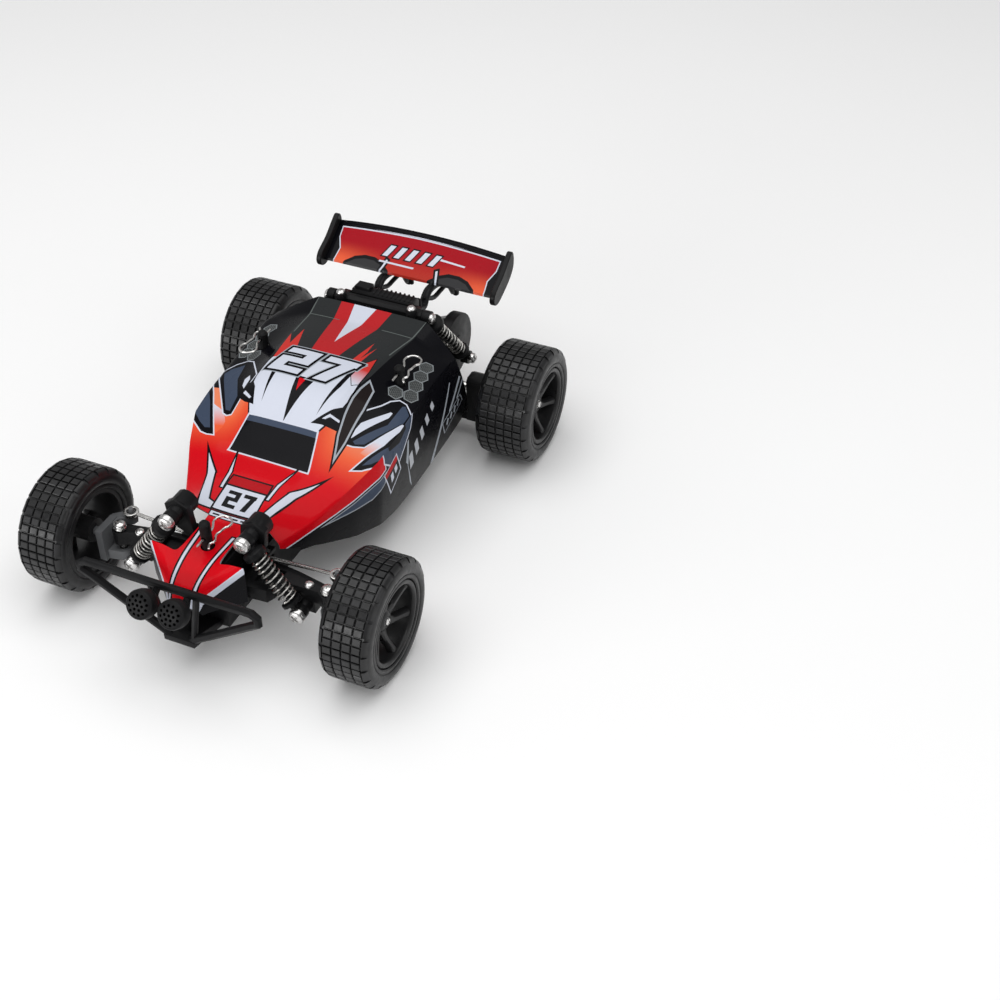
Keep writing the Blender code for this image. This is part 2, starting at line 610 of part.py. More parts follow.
def front_arms():
    pivot_x, pivot_z = ARM_PIVOT
    king_x, king_y = KINGPIN
    for side, name in SIDES:
        hinge_x = side * pivot_x
        plan = [(pivot_x, ARM_FRONT_Y), (24, -6.4), (27.4, 0.6), (42, 0.6)]
        plan += arc((king_x, king_y), 3.3, -100, 100, 6) + [(42.6, 5.6), (30, 8), (pivot_x, ARM_REAR_Y)]
        adds = [
            prism([(side * x, y) for x, y in plan], ARM_BOTTOM_Z, ARM_TOP_Z, "Z"),
            rod((hinge_x, ARM_FRONT_Y, pivot_z), (hinge_x, ARM_REAR_Y, pivot_z), 3.2, 12),
            side_box(side, 32.6, 40, 0.9, 6.8, 16.6, 24),
        ]
        eye_x, eye_z = side * FRONT_SHOCK_BOTTOM[0], FRONT_SHOCK_BOTTOM[2]
        back_y = FRONT_SHOCK_Y + EYE_WIDTH / 2 + FIT
        adds.append(rod((eye_x, back_y, eye_z), (eye_x, 2, eye_z), 2.7, 12))
        front_y = FRONT_SHOCK_Y - EYE_WIDTH / 2 - FIT
        adds.append(rod((eye_x, front_y, eye_z), (eye_x, 3, eye_z), EYE_PIN, 10))
        x = side * king_x
        cuts = [
            rod((hinge_x, -10, pivot_z), (hinge_x, 14, pivot_z), PIN_BORE, 10),
            rod((x, king_y, 18), (x, king_y, 34), 1.7, 10),
            side_box(side, 17, 26, -3, 6, 26.5, 32),
        ]
        make(f"front_arm_{name}", BLACK_PLASTIC, (hinge_x, 0, pivot_z), adds, cuts)
        profile = [(1.4, 0), (1.4, 14.4), (2.7, 14.5), (2.7, 15.4), (2.1, 16)]
        pin = turned((x, king_y, 14.4), (x, king_y, 30.4), profile, 12)
        make(f"kingpin_{name}", STEEL, (x, king_y, 20), [pin])


def knuckles():
    king_x, king_y = KINGPIN
    for side, name in SIDES:
        tongue = arc((king_x, king_y), 3.5, 250, 110, 6) + [(52, 6.5), (52, -3)]
        lever = [(50.2, 2), (53.2, 2), (53.2, 7.5), (48, 12.2)]
        lever += [(45, 12.4), (43.6, 10.4), (44.2, 8.2), (49, 6)]
        adds = [
            side_box(side, 50.2, 53.2, -4.4, 6.4, 15, 29.6),
            prism([(side * x, y) for x, y in tongue], 15, 19.4, "Z"),
            prism([(side * x, y) for x, y in lever], 26, 29.2, "Z"),
            rod((side * king_x, LEVER_Y, 28.5), (side * king_x, LEVER_Y, 32.6), 1.0, 10),
            rod((side * 52, 0, TYRE_RADIUS), (side * AXLE_END_X, 0, TYRE_RADIUS), AXLE_RADIUS, 14),
        ]
        cuts = [rod((side * king_x, king_y, 12), (side * king_x, king_y, 22), 1.7, 10)]
        make(f"knuckle_{name}", GREY_PLASTIC, (side * king_x, king_y, TYRE_RADIUS), adds, cuts)


# Shock absorbers


def coil(start, end, radius, wire, turns, points_per_turn=7):
    """A coil spring along the line from start to end, as a four-sided wire."""
    rotation = frame_along(start, end).to_3x3()
    length = math.dist(start, end)
    count = turns * points_per_turn
    points = []
    for i in range(count + 1):
        angle = 2 * math.pi * i / points_per_turn
        local = Vector((radius * math.cos(angle), radius * math.sin(angle), length * i / count))
        points.append(Vector(start) + rotation @ local)
    return tube(points, wire, 4)


def shock(name, top, bottom, eye_axis, spring_radius):
    """The damper body with its upper eye, the rod with its lower eye and spring seat, and the spring."""
    length = math.dist(top, bottom)
    half = Vector(eye_axis) * (EYE_WIDTH / 2)
    profile = [(1.9, 0), (1.9, 1.2), (3.4, 1.6), (4.5, 2.4), (4.5, 4.6), (2.2, 5), (2.2, 15.6)]
    upper = turned(along(top, bottom, 2.4), bottom, profile, 14)
    upper_eye = rod(Vector(top) - half, Vector(top) + half, EYE_RADIUS, 14)
    pin_hole = rod(Vector(top) - half * 3, Vector(top) + half * 3, EYE_PIN + FIT + 0.1, 10)
    rod_bore = rod(along(top, bottom, 8.4), along(top, bottom, 24), 1.5, 10)
    make(f"{name}_body", BLACK_PLASTIC, top, [upper, upper_eye], [pin_hole, rod_bore])

    seat = length - 6.2 - STEM_START
    profile = [(1.1, 0), (1.1, seat), (SEAT_RADIUS, seat + 0.2), (SEAT_RADIUS, seat + 1.4)]
    profile += [(2, seat + 1.8), (2, length - STEM_START - 1.6)]
    stem = turned(along(top, bottom, STEM_START), bottom, profile, 12)
    lower_eye = rod(Vector(bottom) - half, Vector(bottom) + half, EYE_RADIUS - 0.2, 14)
    lower_hole = rod(Vector(bottom) - half * 3, Vector(bottom) + half * 3, EYE_PIN + 0.6, 10)
    make(f"{name}_rod", GREY_PLASTIC, bottom, [stem, lower_eye], [lower_hole])

    spring_start = along(top, bottom, 8.1)
    spring_end = along(top, bottom, STEM_START + seat - 0.9)
    spring = coil(spring_start, spring_end, spring_radius, 0.45, 6)
    make(f"{name}_spring", STEEL, spring_start, [spring])


def shocks():
    for side, name in SIDES:
        top, bottom = mirrored(FRONT_SHOCK_TOP, side), mirrored(FRONT_SHOCK_BOTTOM, side)
        shock(f"front_shock_{name}", top, bottom, (0, 1, 0), 3.7)
        top, bottom = mirrored(REAR_SHOCK_TOP, side), mirrored(REAR_SHOCK_BOTTOM, side)
        shock(f"rear_shock_{name}", top, bottom, (1, 0, 0), 3.3)


# Rear drive unit


def drive_case():
    wall = [(108.6, 20.6), (132, 11), (150, FLOOR_Z), (168, 11), (176, 22)]
    wall += [(176, 38), (157, 48), (138, 48), (131, 36), (112, 28.1)]
    adds = [
        rod((-20.4, *DRIVE_PIVOT), (20.4, *DRIVE_PIVOT), 4.2, 14),
        prism(wall, -18, -15, "X"),
        prism(wall, 13, 16, "X"),
        box(-17, 15, 136, 167, FLOOR_Z + 0.2, 11.2),
        box(-16, 14, 172.6, 175.6, 20, 37),
        box(-47, 47, 143, 151, FLOOR_Z + 0.4, 12.2),
    ]
    cuts = [rod((-28, *DRIVE_PIVOT), (28, *DRIVE_PIVOT), PIN_BORE, 10)]
    for side in (-1, 1):
        block = [(142.4, 9.6), (151.6, 9.6), (151.6, 30), (148.6, 31.6), (144, 31.6), (142.4, 30)]
        adds.append(prism(block, *sorted((side * 38, side * 48)), "X"))
        bracket = [(143, 9.6), (152, 9.6), (160, 28), (160, 34), (157, 34.8), (152.4, 32.4), (143, 18)]
        adds.append(prism(bracket, *sorted((side * 25.9, side * 27.9)), "X"))
        bottom = Vector(mirrored(REAR_SHOCK_BOTTOM, side))
        adds.append(rod((side * 26.9, *bottom.yz), (side * 34.8, *bottom.yz), EYE_PIN, 10))
    axle = (REAR_AXLE_Y, TYRE_RADIUS)
    cuts.append(rod((-52, *axle), (52, *axle), AXLE_RADIUS + 0.4, 12))
    cuts.append(rod((11, *COUNTER_AXIS), (18, *COUNTER_AXIS), 1.9, 10))
    cuts.append(rod((11, *MOTOR_AXIS), (18, *MOTOR_AXIS), 1.6, 10))
    make("drive_case", BLACK_PLASTIC, (0, *DRIVE_PIVOT), adds, cuts)


def drive_motor():
    y, z = MOTOR_AXIS
    flat = 7.4
    angle = math.degrees(math.asin(flat / 10))
    can = arc((y, z), 10, -angle, angle, 5) + arc((y, z), 10, 180 - angle, 180 + angle, 5)
    adds = [prism(can, -13.6, 10.4, "X"), rod((9, y, z), (12.6, y, z), 3, 12)]
    cuts = [rod((5, y, z), (15, y, z), 1.4, 10)]
    make("drive_motor", STEEL, (0, y, z), adds, cuts)


def gear_outline(centre, teeth, first_tooth):
    """Straight-sided teeth with some backlash; first_tooth is the angle of one tooth's middle."""
    pitch_radius = GEAR_MODULE * teeth / 2
    tip, root = pitch_radius + 0.7 * GEAR_MODULE, pitch_radius - 1.05 * GEAR_MODULE
    step = 2 * math.pi / teeth
    points = []
    for tooth in range(teeth):
        middle = first_tooth + tooth * step
        for radius, offset in ((root, -0.28), (tip, -0.12), (tip, 0.12), (root, 0.28)):
            angle = middle + offset * step
            y, z = centre[0] + radius * math.cos(angle), centre[1] + radius * math.sin(angle)
            points.append((y, z))
    return points


def gear_train():
    axle = (REAR_AXLE_Y, TYRE_RADIUS)
    to_counter = math.atan2(COUNTER_AXIS[1] - axle[1], COUNTER_AXIS[0] - axle[0])
    axle_gear = prism(gear_outline(axle, AXLE_TEETH, to_counter), *INNER_GEAR_X, "X")
    shaft = rod((-AXLE_END_X, *axle), (AXLE_END_X, *axle), AXLE_RADIUS, 14)
    make("rear_axle", STEEL, (0, *axle), [shaft, axle_gear])

    small_phase = to_counter + math.pi + math.pi / COUNTER_SMALL_TEETH
    small_outline = gear_outline(COUNTER_AXIS, COUNTER_SMALL_TEETH, small_phase)
    small = prism(small_outline, INNER_GEAR_X[0], OUTER_GEAR_X[0] + 0.5, "X")
    big = prism(gear_outline(COUNTER_AXIS, COUNTER_BIG_TEETH, MOTOR_ANGLE), *OUTER_GEAR_X, "X")
    counter_shaft = rod((12.2, *COUNTER_AXIS), (23.5, *COUNTER_AXIS), 1.5, 10)
    make("counter_gear", WHITE_PLASTIC, (INNER_GEAR_X[0], *COUNTER_AXIS), [big, small, counter_shaft])

    pinion_phase = MOTOR_ANGLE + math.pi + math.pi / PINION_TEETH
    pinion = prism(gear_outline(MOTOR_AXIS, PINION_TEETH, pinion_phase), *OUTER_GEAR_X, "X")
    shaft_end = OUTER_GEAR_X[1] + 0.2
    motor_shaft = rod((5.6, *MOTOR_AXIS), (shaft_end, *MOTOR_AXIS), 1.0, 10)
    make("motor_pinion", STEEL, (OUTER_GEAR_X[0], *MOTOR_AXIS), [pinion, motor_shaft])


def gear_cover():
    """A cup over the big gear, with a bulge over the motor pinion."""
    wall_x, inner_x = 25.0, 23.9
    bulge_x, bulge_inner_x = 24.1, 23.3
    adds = [
        rod((20.1, *COUNTER_AXIS), (wall_x, *COUNTER_AXIS), 15, 28),
        rod((20.1, *MOTOR_AXIS), (bulge_x, *MOTOR_AXIS), 6.2, 14),
        rod((wall_x - 0.6, *COUNTER_AXIS), (wall_x + 0.4, *COUNTER_AXIS), 5, 16),
    ]
    cuts = [
        rod((18, *COUNTER_AXIS), (inner_x, *COUNTER_AXIS), 13.7, 28),
        rod((18, *MOTOR_AXIS), (bulge_inner_x, *MOTOR_AXIS), 5.2, 14),
    ]
    make("gear_cover", BLACK_PLASTIC, (wall_x, *COUNTER_AXIS), adds, cuts)


# Wheels


def tyre(name, side, y, width):
    inner = WHEEL_OUTER_X - width
    profile = [
        (RIM_RADIUS + FIT, 0.8), (19, 0), (22.6, 0), (TYRE_RADIUS, 2.2),
        (TYRE_RADIUS, width - 2.2), (22.6, width), (19, width), (RIM_RADIUS + FIT, width - 0.8),
    ]
    start, end = (side * inner, y, TYRE_RADIUS), (side * WHEEL_OUTER_X, y, TYRE_RADIUS)
    make(f"tyre_{name}", RUBBER, start, [hoop(start, end, profile, 24)])


def rim(name, side, y, width):
    inner = WHEEL_OUTER_X - width + 1
    outer = WHEEL_OUTER_X - 1
    barrel_width = outer - inner
    start, end = (side * inner, y, TYRE_RADIUS), (side * outer, y, TYRE_RADIUS)
    wall_inside = RIM_RADIUS - RIM_WALL
    profile = [(wall_inside, 0), (RIM_RADIUS, 0), (RIM_RADIUS, barrel_width), (wall_inside, barrel_width)]
    adds = [hoop(start, end, profile, 24)]
    hub_start, hub_end = (side * (inner + 2), y, TYRE_RADIUS), (side * HUB_OUTER_X, y, TYRE_RADIUS)
    adds.append(rod(hub_start, hub_end, HUB_RADIUS, 12))
    for spoke in range(SPOKES):
        turn = Matrix.Rotation(2 * math.pi * spoke / SPOKES, 3, "X")
        arm = side_box(side, HUB_OUTER_X - 3.4, HUB_OUTER_X - 0.8, -1.5, 1.5, 3, RIM_RADIUS - 0.7)
        for vertex in arm.verts:
            if vertex.co.z > HUB_RADIUS:
                vertex.co.x += side * SPOKE_RISE
            vertex.co = turn @ vertex.co + Vector((0, y, TYRE_RADIUS))
        adds.append(arm)
    bore = AXLE_RADIUS + 0.35
    bore_start, bore_end = (side * (inner - 3), y, TYRE_RADIUS), (side * 75, y, TYRE_RADIUS)
    cuts = [rod(bore_start, bore_end, bore, 12)]
    make(f"rim_{name}", BLACK_PLASTIC, (side * HUB_OUTER_X, y, TYRE_RADIUS), adds, cuts)


def wheels():
    axles = (("front", 0.0, FRONT_TYRE_WIDTH), ("rear", REAR_AXLE_Y, REAR_TYRE_WIDTH))
    for end_name, y, width in axles:
        for side, side_name in SIDES:
            tyre(f"{end_name}_{side_name}", side, y, width)
            rim(f"{end_name}_{side_name}", side, y, width)


def build():
    clear_scene()
    chassis_tub()
    hinge_pins()
    front_tower()
    front_bumper()
    bumper_lamps()
    rear_tower()
    wing_mount()
    rear_wing()
    body_shell()
    body_posts()
    body_clips()
    battery()
    electronics()
    steering_links()
    front_arms()
    knuckles()
    shocks()
    drive_case()
    drive_motor()
    gear_train()
    gear_cover()
    wheels()


build()
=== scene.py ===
"""The visual model of a 1:20 radio-controlled racing buggy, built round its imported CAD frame.

Car coordinates are millimetres, as in the part's source: X to the car's left, Y backwards from the front
axle, Z up from the ground. car() turns them into the frame's metres.
"""

import math

import bmesh
import bpy
from mathutils import Matrix, Vector


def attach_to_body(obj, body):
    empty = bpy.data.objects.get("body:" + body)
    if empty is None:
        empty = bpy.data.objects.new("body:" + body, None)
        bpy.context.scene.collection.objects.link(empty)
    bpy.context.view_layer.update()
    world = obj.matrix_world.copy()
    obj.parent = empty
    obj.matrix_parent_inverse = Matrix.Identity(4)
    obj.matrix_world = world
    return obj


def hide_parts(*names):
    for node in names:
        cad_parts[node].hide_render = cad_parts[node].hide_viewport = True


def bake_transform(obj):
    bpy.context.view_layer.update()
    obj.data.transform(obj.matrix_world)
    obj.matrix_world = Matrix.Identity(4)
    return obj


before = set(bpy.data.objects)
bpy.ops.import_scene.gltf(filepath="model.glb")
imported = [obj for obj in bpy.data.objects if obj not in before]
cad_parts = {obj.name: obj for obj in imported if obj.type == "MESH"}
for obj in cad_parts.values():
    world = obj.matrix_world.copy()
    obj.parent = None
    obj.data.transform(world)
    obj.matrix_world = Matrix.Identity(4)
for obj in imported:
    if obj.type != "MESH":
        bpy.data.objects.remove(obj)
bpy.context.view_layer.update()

MM = 0.001
MID_Y = 73.15
SIDES = ((1, "left"), (-1, "right"))
TYRE_RADIUS = 25.3
WHEEL_OUTER_X = 75.6
HUB_FACE_X = 71
REAR_AXLE_Y = 146
RIM_RADIUS = 17.2
TREAD_BASE = TYRE_RADIUS - 0.9
TREAD_ROWS = 46

FRONT_SHOCK = ((16.2, -4, 48.1), (36.4, -4, 20.2))
REAR_SHOCK = ((22.6, 137.5, 62.2), (31.8, 156.5, 33))
# Name, x, y, height of the head, height of the clip
POSTS = (
    ("front", 0, -5, 53, 46),
    ("rear_left", 31.5, 93.5, 68, 65),
    ("rear_right", -31.5, 93.5, 68, 65),
)


def car(x, y, z):
    return Vector((x, y - MID_Y, z)) * MM


def mirrored(point, side):
    return (side * point[0], point[1], point[2])


# Shader building


class Shader:
    """A Principled material with small helpers for its node tree."""

    def __init__(self, name, colour=(0.5, 0.5, 0.5), roughness=0.5, metallic=0):
        self.material = bpy.data.materials.new(name)
        self.material.use_nodes = True
        self.tree = self.material.node_tree
        self.bsdf = self.tree.nodes["Principled BSDF"]
        self.set(Base_Color=colour, Roughness=roughness, Metallic=metallic)
        self.place = self.node("ShaderNodeTexCoord").outputs["Object"]
        self.drawn = colour

    def node(self, kind, inputs=(), **settings):
        made = self.tree.nodes.new(kind)
        for key, value in settings.items():
            setattr(made, key, value)
        for key, value in dict(inputs).items():
            self.feed(made.inputs[key], value)
        return made

    def feed(self, socket, value):
        if isinstance(value, bpy.types.NodeSocket):
            self.tree.links.new(value, socket)
        elif isinstance(value, tuple) and len(value) == 3 and socket.type == "RGBA":
            socket.default_value = (*value, 1)
        else:
            socket.default_value = value

    def math(self, operation, a, b=0, c=0):
        return self.node("ShaderNodeMath", {0: a, 1: b, 2: c}, operation=operation).outputs[0]

    def noise(self, scale, detail=3, place=None):
        values = {"Vector": place or self.place, "Scale": scale, "Detail": detail}
        return self.node("ShaderNodeTexNoise", values).outputs["Fac"]

    def remap(self, value, low, high, to_low, to_high, smooth=False):
        settings = {"interpolation_type": "SMOOTHSTEP"} if smooth else {}
        values = {"Value": value, "From Min": low, "From Max": high, "To Min": to_low, "To Max": to_high}
        return self.node("ShaderNodeMapRange", values, **settings).outputs["Result"]

    def mix(self, factor, a, b):
        values = {"Factor": factor, "A": a, "B": b}
        return self.node("ShaderNodeMix", values, data_type="RGBA").outputs["Result"]

    def bump(self, height, depth, strength=1):
        values = {"Height": height, "Strength": strength, "Distance": depth}
        self.set(Normal=self.node("ShaderNodeBump", values).outputs["Normal"])

    def set(self, **values):
        for name, value in values.items():
            self.feed(self.bsdf.inputs[name.replace("_", " ")], value)

    def car_coordinates(self):
        """The surface point in car millimetres, as separate x, y and z sockets."""
        split = self.node("ShaderNodeSeparateXYZ", {0: self.place})
        x = self.math("MULTIPLY", split.outputs["X"], 1000)
        y = self.math("MULTIPLY_ADD", split.outputs["Y"], 1000, MID_Y)
        z = self.math("MULTIPLY", split.outputs["Z"], 1000)
        return x, y, z

    def plane(self, across, along):
        """A flat drawing plane: its vectors hold (across, along, 1), so a half-plane is one dot product."""
        return self.node("ShaderNodeCombineXYZ", {0: across, 1: along, 2: 1}).outputs[0]

    def polygon(self, plane, points):
        """How far inside a convex polygon the point is, in millimetres; negative outside."""
        if area(points) < 0:
            points = points[::-1]
        inside = None
        for (ax, ay), (bx, by) in zip(points, points[1:] + points[:1]):
            length = math.hypot(bx - ax, by - ay)
            nx, ny = -(by - ay) / length, (bx - ax) / length
            values = {0: plane, 1: (nx, ny, -(nx * ax + ny * ay))}
            edge = self.node("ShaderNodeVectorMath", values, operation="DOT_PRODUCT").outputs["Value"]
            inside = edge if inside is None else self.math("MINIMUM", inside, edge)
        return inside

    def draw(self, plane, shapes, *layers):
        """Paints one polygon, or a list of them, over what is drawn so far.

        Each layer is a margin outside the shape's edge, and a colour.
        """
        shapes = shapes if isinstance(shapes[0], list) else [shapes]
        inside = None
        for shape in shapes:
            found = self.polygon(plane, shape)
            inside = found if inside is None else self.math("MAXIMUM", inside, found)
        for margin, paint in layers:
            covered = self.math("GREATER_THAN", inside, -margin)
            self.drawn = self.mix(covered, self.drawn, paint)

    def painted(self):
        """The material, coloured by all that is drawn."""
        self.set(Base_Color=self.drawn)
        return self.material


def area(points):
    return sum(ax * by - bx * ay for (ax, ay), (bx, by) in zip(points, points[1:] + points[:1]))


# Materials


def plastic(name, colour, roughness, grain=0.00002, shine=0.13):
    """Moulded plastic with a fine grain and a little wear in its gloss."""
    made = Shader(name, colour, roughness)
    broad = made.noise(60)
    lift = tuple(min(1, c * 1.6 + 0.002) for c in colour)
    made.set(Base_Color=made.mix(broad, colour, lift), Specular_IOR_Level=shine)
    made.set(Roughness=made.remap(made.noise(240), 0.3, 0.7, roughness - 0.07, roughness + 0.08))
    made.bump(made.noise(2600, 2), grain)
    return made.material


def rubber():
    """Matt black rubber, greyer where it is dusty, with a soft sheen on its edges."""
    made = Shader("tyre_rubber", (0.008, 0.008, 0.009), 0.5)
    dust = made.remap(made.noise(180, 5), 0.42, 0.75, 0, 1, smooth=True)
    made.set(Base_Color=made.mix(dust, (0.0045, 0.0045, 0.005), (0.011, 0.011, 0.0125)))
    made.set(Roughness=made.remap(made.noise(420), 0.3, 0.7, 0.30, 0.46), Specular_IOR_Level=0.45)
    made.bump(made.noise(3200, 2), 0.00002)
    return made.material


def steel(name="steel", colour=(0.78, 0.77, 0.75), roughness=0.22):
    made = Shader(name, colour, roughness, 1)
    stretched = made.node("ShaderNodeMapping", {"Vector": made.place, "Scale": (1, 1, 6)})
    streaks = made.noise(900, 4, stretched.outputs[0])
    made.set(Roughness=made.remap(streaks, 0.3, 0.7, roughness - 0.08, roughness + 0.12))
    made.set(Base_Color=made.mix(made.noise(150), colour, tuple(c * 0.8 for c in colour)))
    made.bump(streaks, 0.00001)
    return made.material


def board():
    """A printed circuit board: copper tracks show through the green mask."""
    made = Shader("board_green", (0.02, 0.16, 0.06), 0.4)
    tracks = made.node("ShaderNodeTexBrick", {"Vector": made.place, "Scale": 300, "Mortar Size": 0.06})
    made.set(Base_Color=made.mix(tracks.outputs["Fac"], (0.01, 0.10, 0.04), (0.05, 0.26, 0.10)))
    made.bump(tracks.outputs["Fac"], 0.00005)
    return made.material


def cell_wrap():
    made = Shader("cell_wrap", (0.30, 0.72, 0.28), 0.3)
    crease_height_and_shade = made.noise(120, 6)
    # Painted shade and highlight: the wrap is darker in the hollows of its crease bump and lighter on the
    # ridges.
    made.set(Base_Color=made.mix(crease_height_and_shade, (0.26, 0.66, 0.24), (0.38, 0.80, 0.34)))
    made.bump(crease_height_and_shade, 0.0002)
    return made.material


RED = (0.60, 0.002, 0.008)
DEEP_RED = (0.42, 0.001, 0.006)
ORANGE = (0.76, 0.11, 0.04)
PALE_ORANGE = (0.76, 0.22, 0.11)
FLAME_RED = (0.56, 0.035, 0.028)
WHITE = (0.60, 0.63, 0.72)
GREY_LINE = (0.34, 0.37, 0.41)
BLACK = (0.003, 0.003, 0.0045)
BLADE_BROWN = (0.013, 0.009, 0.009)
SMOKE = (0.024, 0.026, 0.027)
SLATE = (0.045, 0.062, 0.10)
WING_RED = (0.34, 0.001, 0.008)
ARCH_GREY = (0.03, 0.03, 0.032)
ROOF_RED = (0.46, 0.018, 0.022)
# Pale grey of the painted highlights along the shell's folds
FOLD_HIGHLIGHT_GREY = (0.11, 0.125, 0.12)
HEXAGON_LINE = (0.22, 0.24, 0.25)
HEXAGON_MESH = (0.14, 0.15, 0.15)
SKIRT_BLACK = (0.018, 0.018, 0.018)
BAR_GREY = (0.46, 0.48, 0.52)

NOSE_STRIPE = [(6.3, 2), (7.4, 2), (5.2, -27), (4.2, -27)]

NUMBER_STROKES = (
    # 2
    [(0, 1.26), (1, 1.26), (1, 1.6), (0, 1.6)],
    [(0.64, 0.7), (1, 0.7), (1, 1.6), (0.64, 1.6)],
    [(0, 0.64), (1, 0.64), (1, 0.98), (0, 0.98)],
    [(0, 0), (0.36, 0), (0.36, 0.9), (0, 0.9)],
    [(0, 0), (1, 0), (1, 0.34), (0, 0.34)],
    # 7
    [(1.25, 1.24), (2.25, 1.24), (2.25, 1.6), (1.25, 1.6)],
    [(1.86, 1.5), (2.25, 1.5), (1.92, 0), (1.48, 0)],
)
NUMBER_MIDDLE = (1.12, 0.8)


def number(centre, size, lean):
    """The race number's strokes about a centre, as polygons of the drawing plane."""

    def place(u, v):
        right, up = u - NUMBER_MIDDLE[0], v - NUMBER_MIDDLE[1]
        return centre[0] + (right + lean * up) * size[0], centre[1] + up * size[1]

    return [[place(*point) for point in stroke] for stroke in NUMBER_STROKES]


def film(name):
    """Printed, glossy, vacuum-formed sheet."""
    made = Shader(name, RED, 0.24)
    made.set(Specular_IOR_Level=0.05, Coat_Weight=0.09, Coat_Roughness=0.05)
    made.set(Roughness=made.remap(made.noise(70), 0.3, 0.7, 0.20, 0.34))
    made.bump(made.noise(45, 2), 0.00025, 0.5)
    return made


def nose_and_hood(made, half, whole):
    """The nose stripes, the brackets either side of the number plate, and the plate."""
    made.draw(half, NOSE_STRIPE, (0.7, BLACK), (0, WHITE))
    outer_leg = [(24.8, 37), (19.4, 27.2), (16.6, 28.2)]
    lower_leg = [(19.4, 27.2), (14.4, 11.8), (11.8, 15), (16.6, 28.2)]
    foot = [(14.4, 11.8), (9.4, 12.4), (9.4, 14.8), (11.8, 15.4)]
    made.draw(half, [outer_leg, lower_leg, foot], (0.75, BLACK), (0, WHITE))
    inner_leg = [
        [(13, 38), (10.2, 30), (11.2, 29.4)],
        [(10.2, 30), (9.6, 22), (10.6, 22), (11.2, 29.4)],
    ]
    made.draw(half, inner_leg, (0.6, BLACK), (0, WHITE))
    bar = [(-8.7, 24.4), (8.7, 24.4), (8.4, 28.6), (-8.4, 28.6)]
    made.draw(whole, bar, (0.75, BLACK), (0, DEEP_RED))
    panel = [(-8.8, 12.9), (8.8, 12.9), (8.5, 23.6), (-8.5, 23.6)]
    made.draw(whole, panel, (0.75, BLACK), (0, WHITE))
    made.draw(whole, number((0, 18.2), (5.4, 4.6), 0), (0, BLACK))
    strip = [(-8.6, 9.7), (8.6, 9.7), (8.6, 11.6), (-8.6, 11.6)]
    made.draw(whole, strip, (0.5, BLACK), (0, WHITE))
    dashes = []
    for left in (-7.4, -3.4, 0.6, 4.6):
        dashes.append([(left, 10.3), (left + 2.8, 10.3), (left + 2.8, 11), (left, 11)])
    made.draw(whole, dashes, (0, BLACK))


def windshield(made, whole):
    """The black front glass under a slate band, with a white outline."""
    frame_shape = [(-17.6, 40.6), (17.6, 40), (15.2, 53.6), (-15, 53.4)]
    made.draw(whole, frame_shape, (0.7, WHITE), (0, SLATE))
    glass = [(-17.6, 40.6), (17.6, 40), (15.7, 51.6), (-15.5, 51.4)]
    made.draw(whole, glass, (0, BLACK))


def roof(made, half, whole):
    """The white front roof with its spikes, and the smoky rear roof with its red and white V and painted
    highlights along its folds.
    """
    rear = [
        [(-1, 90), (18, 90), (18, 135), (-1, 135)],
        [(17.6, 88), (19.6, 76), (30, 76), (30, 135), (17.6, 135)],
    ]
    made.draw(half, rear, (0, SMOKE))
    panel = [(-1, 53.4), (15, 53.4), (19.6, 62.4), (20.8, 70), (20.4, 80), (17.8, 92), (-1, 92)]
    made.draw(half, panel, (0.6, BLACK), (0, WHITE))
    arms = [
        [(-7.4, 90), (-14.9, 133), (-8.9, 133), (-2.3, 102), (-2.3, 90)],
        [(-2.4, 90), (-2.4, 102), (2.4, 133), (9.6, 133), (4.4, 90)],
    ]
    made.draw(whole, arms, (0, ROOF_RED))
    middle = [(-2.3, 101.6), (-8.8, 133), (2.3, 133)]
    made.draw(whole, middle, (0, WHITE))
    flames = [
        [(-19.8, 82), (-22.5, 101.4), (-17.4, 91), (-16, 84)],
        [(-18.4, 88), (-19, 106.1), (-14.4, 92.4), (-15.8, 84)],
        [(10.8, 91), (12.9, 107.9), (13.7, 100), (13.2, 91)],
        [(12.6, 91), (15.7, 104.6), (14.6, 91)],
    ]
    made.draw(whole, flames, (0, FLAME_RED))
    spikes = [
        [(12.2, 58.8), (14.4, 88), (16.4, 92), (15.3, 74)],
        [(-1, 74), (4.2, 74), (0.1, 54.2), (-1, 54.2)],
    ]
    made.draw(half, spikes, (0, BLACK))
    ember = [(-2.6, 73), (0.4, 73), (-0.6, 66.4)]
    made.draw(whole, ember, (0, RED))
    # Painted highlight: pale grey lines along the roof ridge and the rear crease, where the folded sheet
    # catches light.
    fold_highlights = [
        [(21.9, 103), (23.8, 120), (24.3, 120), (22.4, 103)],
        [(23.8, 119.8), (25.4, 131.5), (25.9, 131.5), (24.3, 119.8)],
        [(10, 119.8), (24, 119.8), (24, 120.2), (10, 120.2)],
    ]
    made.draw(half, fold_highlights, (0, FOLD_HIGHLIGHT_GREY))


def step_above(made, plane, y, low, high, inside, outside):
    """A blend from one colour to another across the car's length, from low to high about y."""
    ahead = made.polygon(plane, [(-60, y), (60, y), (60, 200), (-60, 200)])
    return made.mix(made.remap(ahead, low, high, 0, 1), inside, outside)


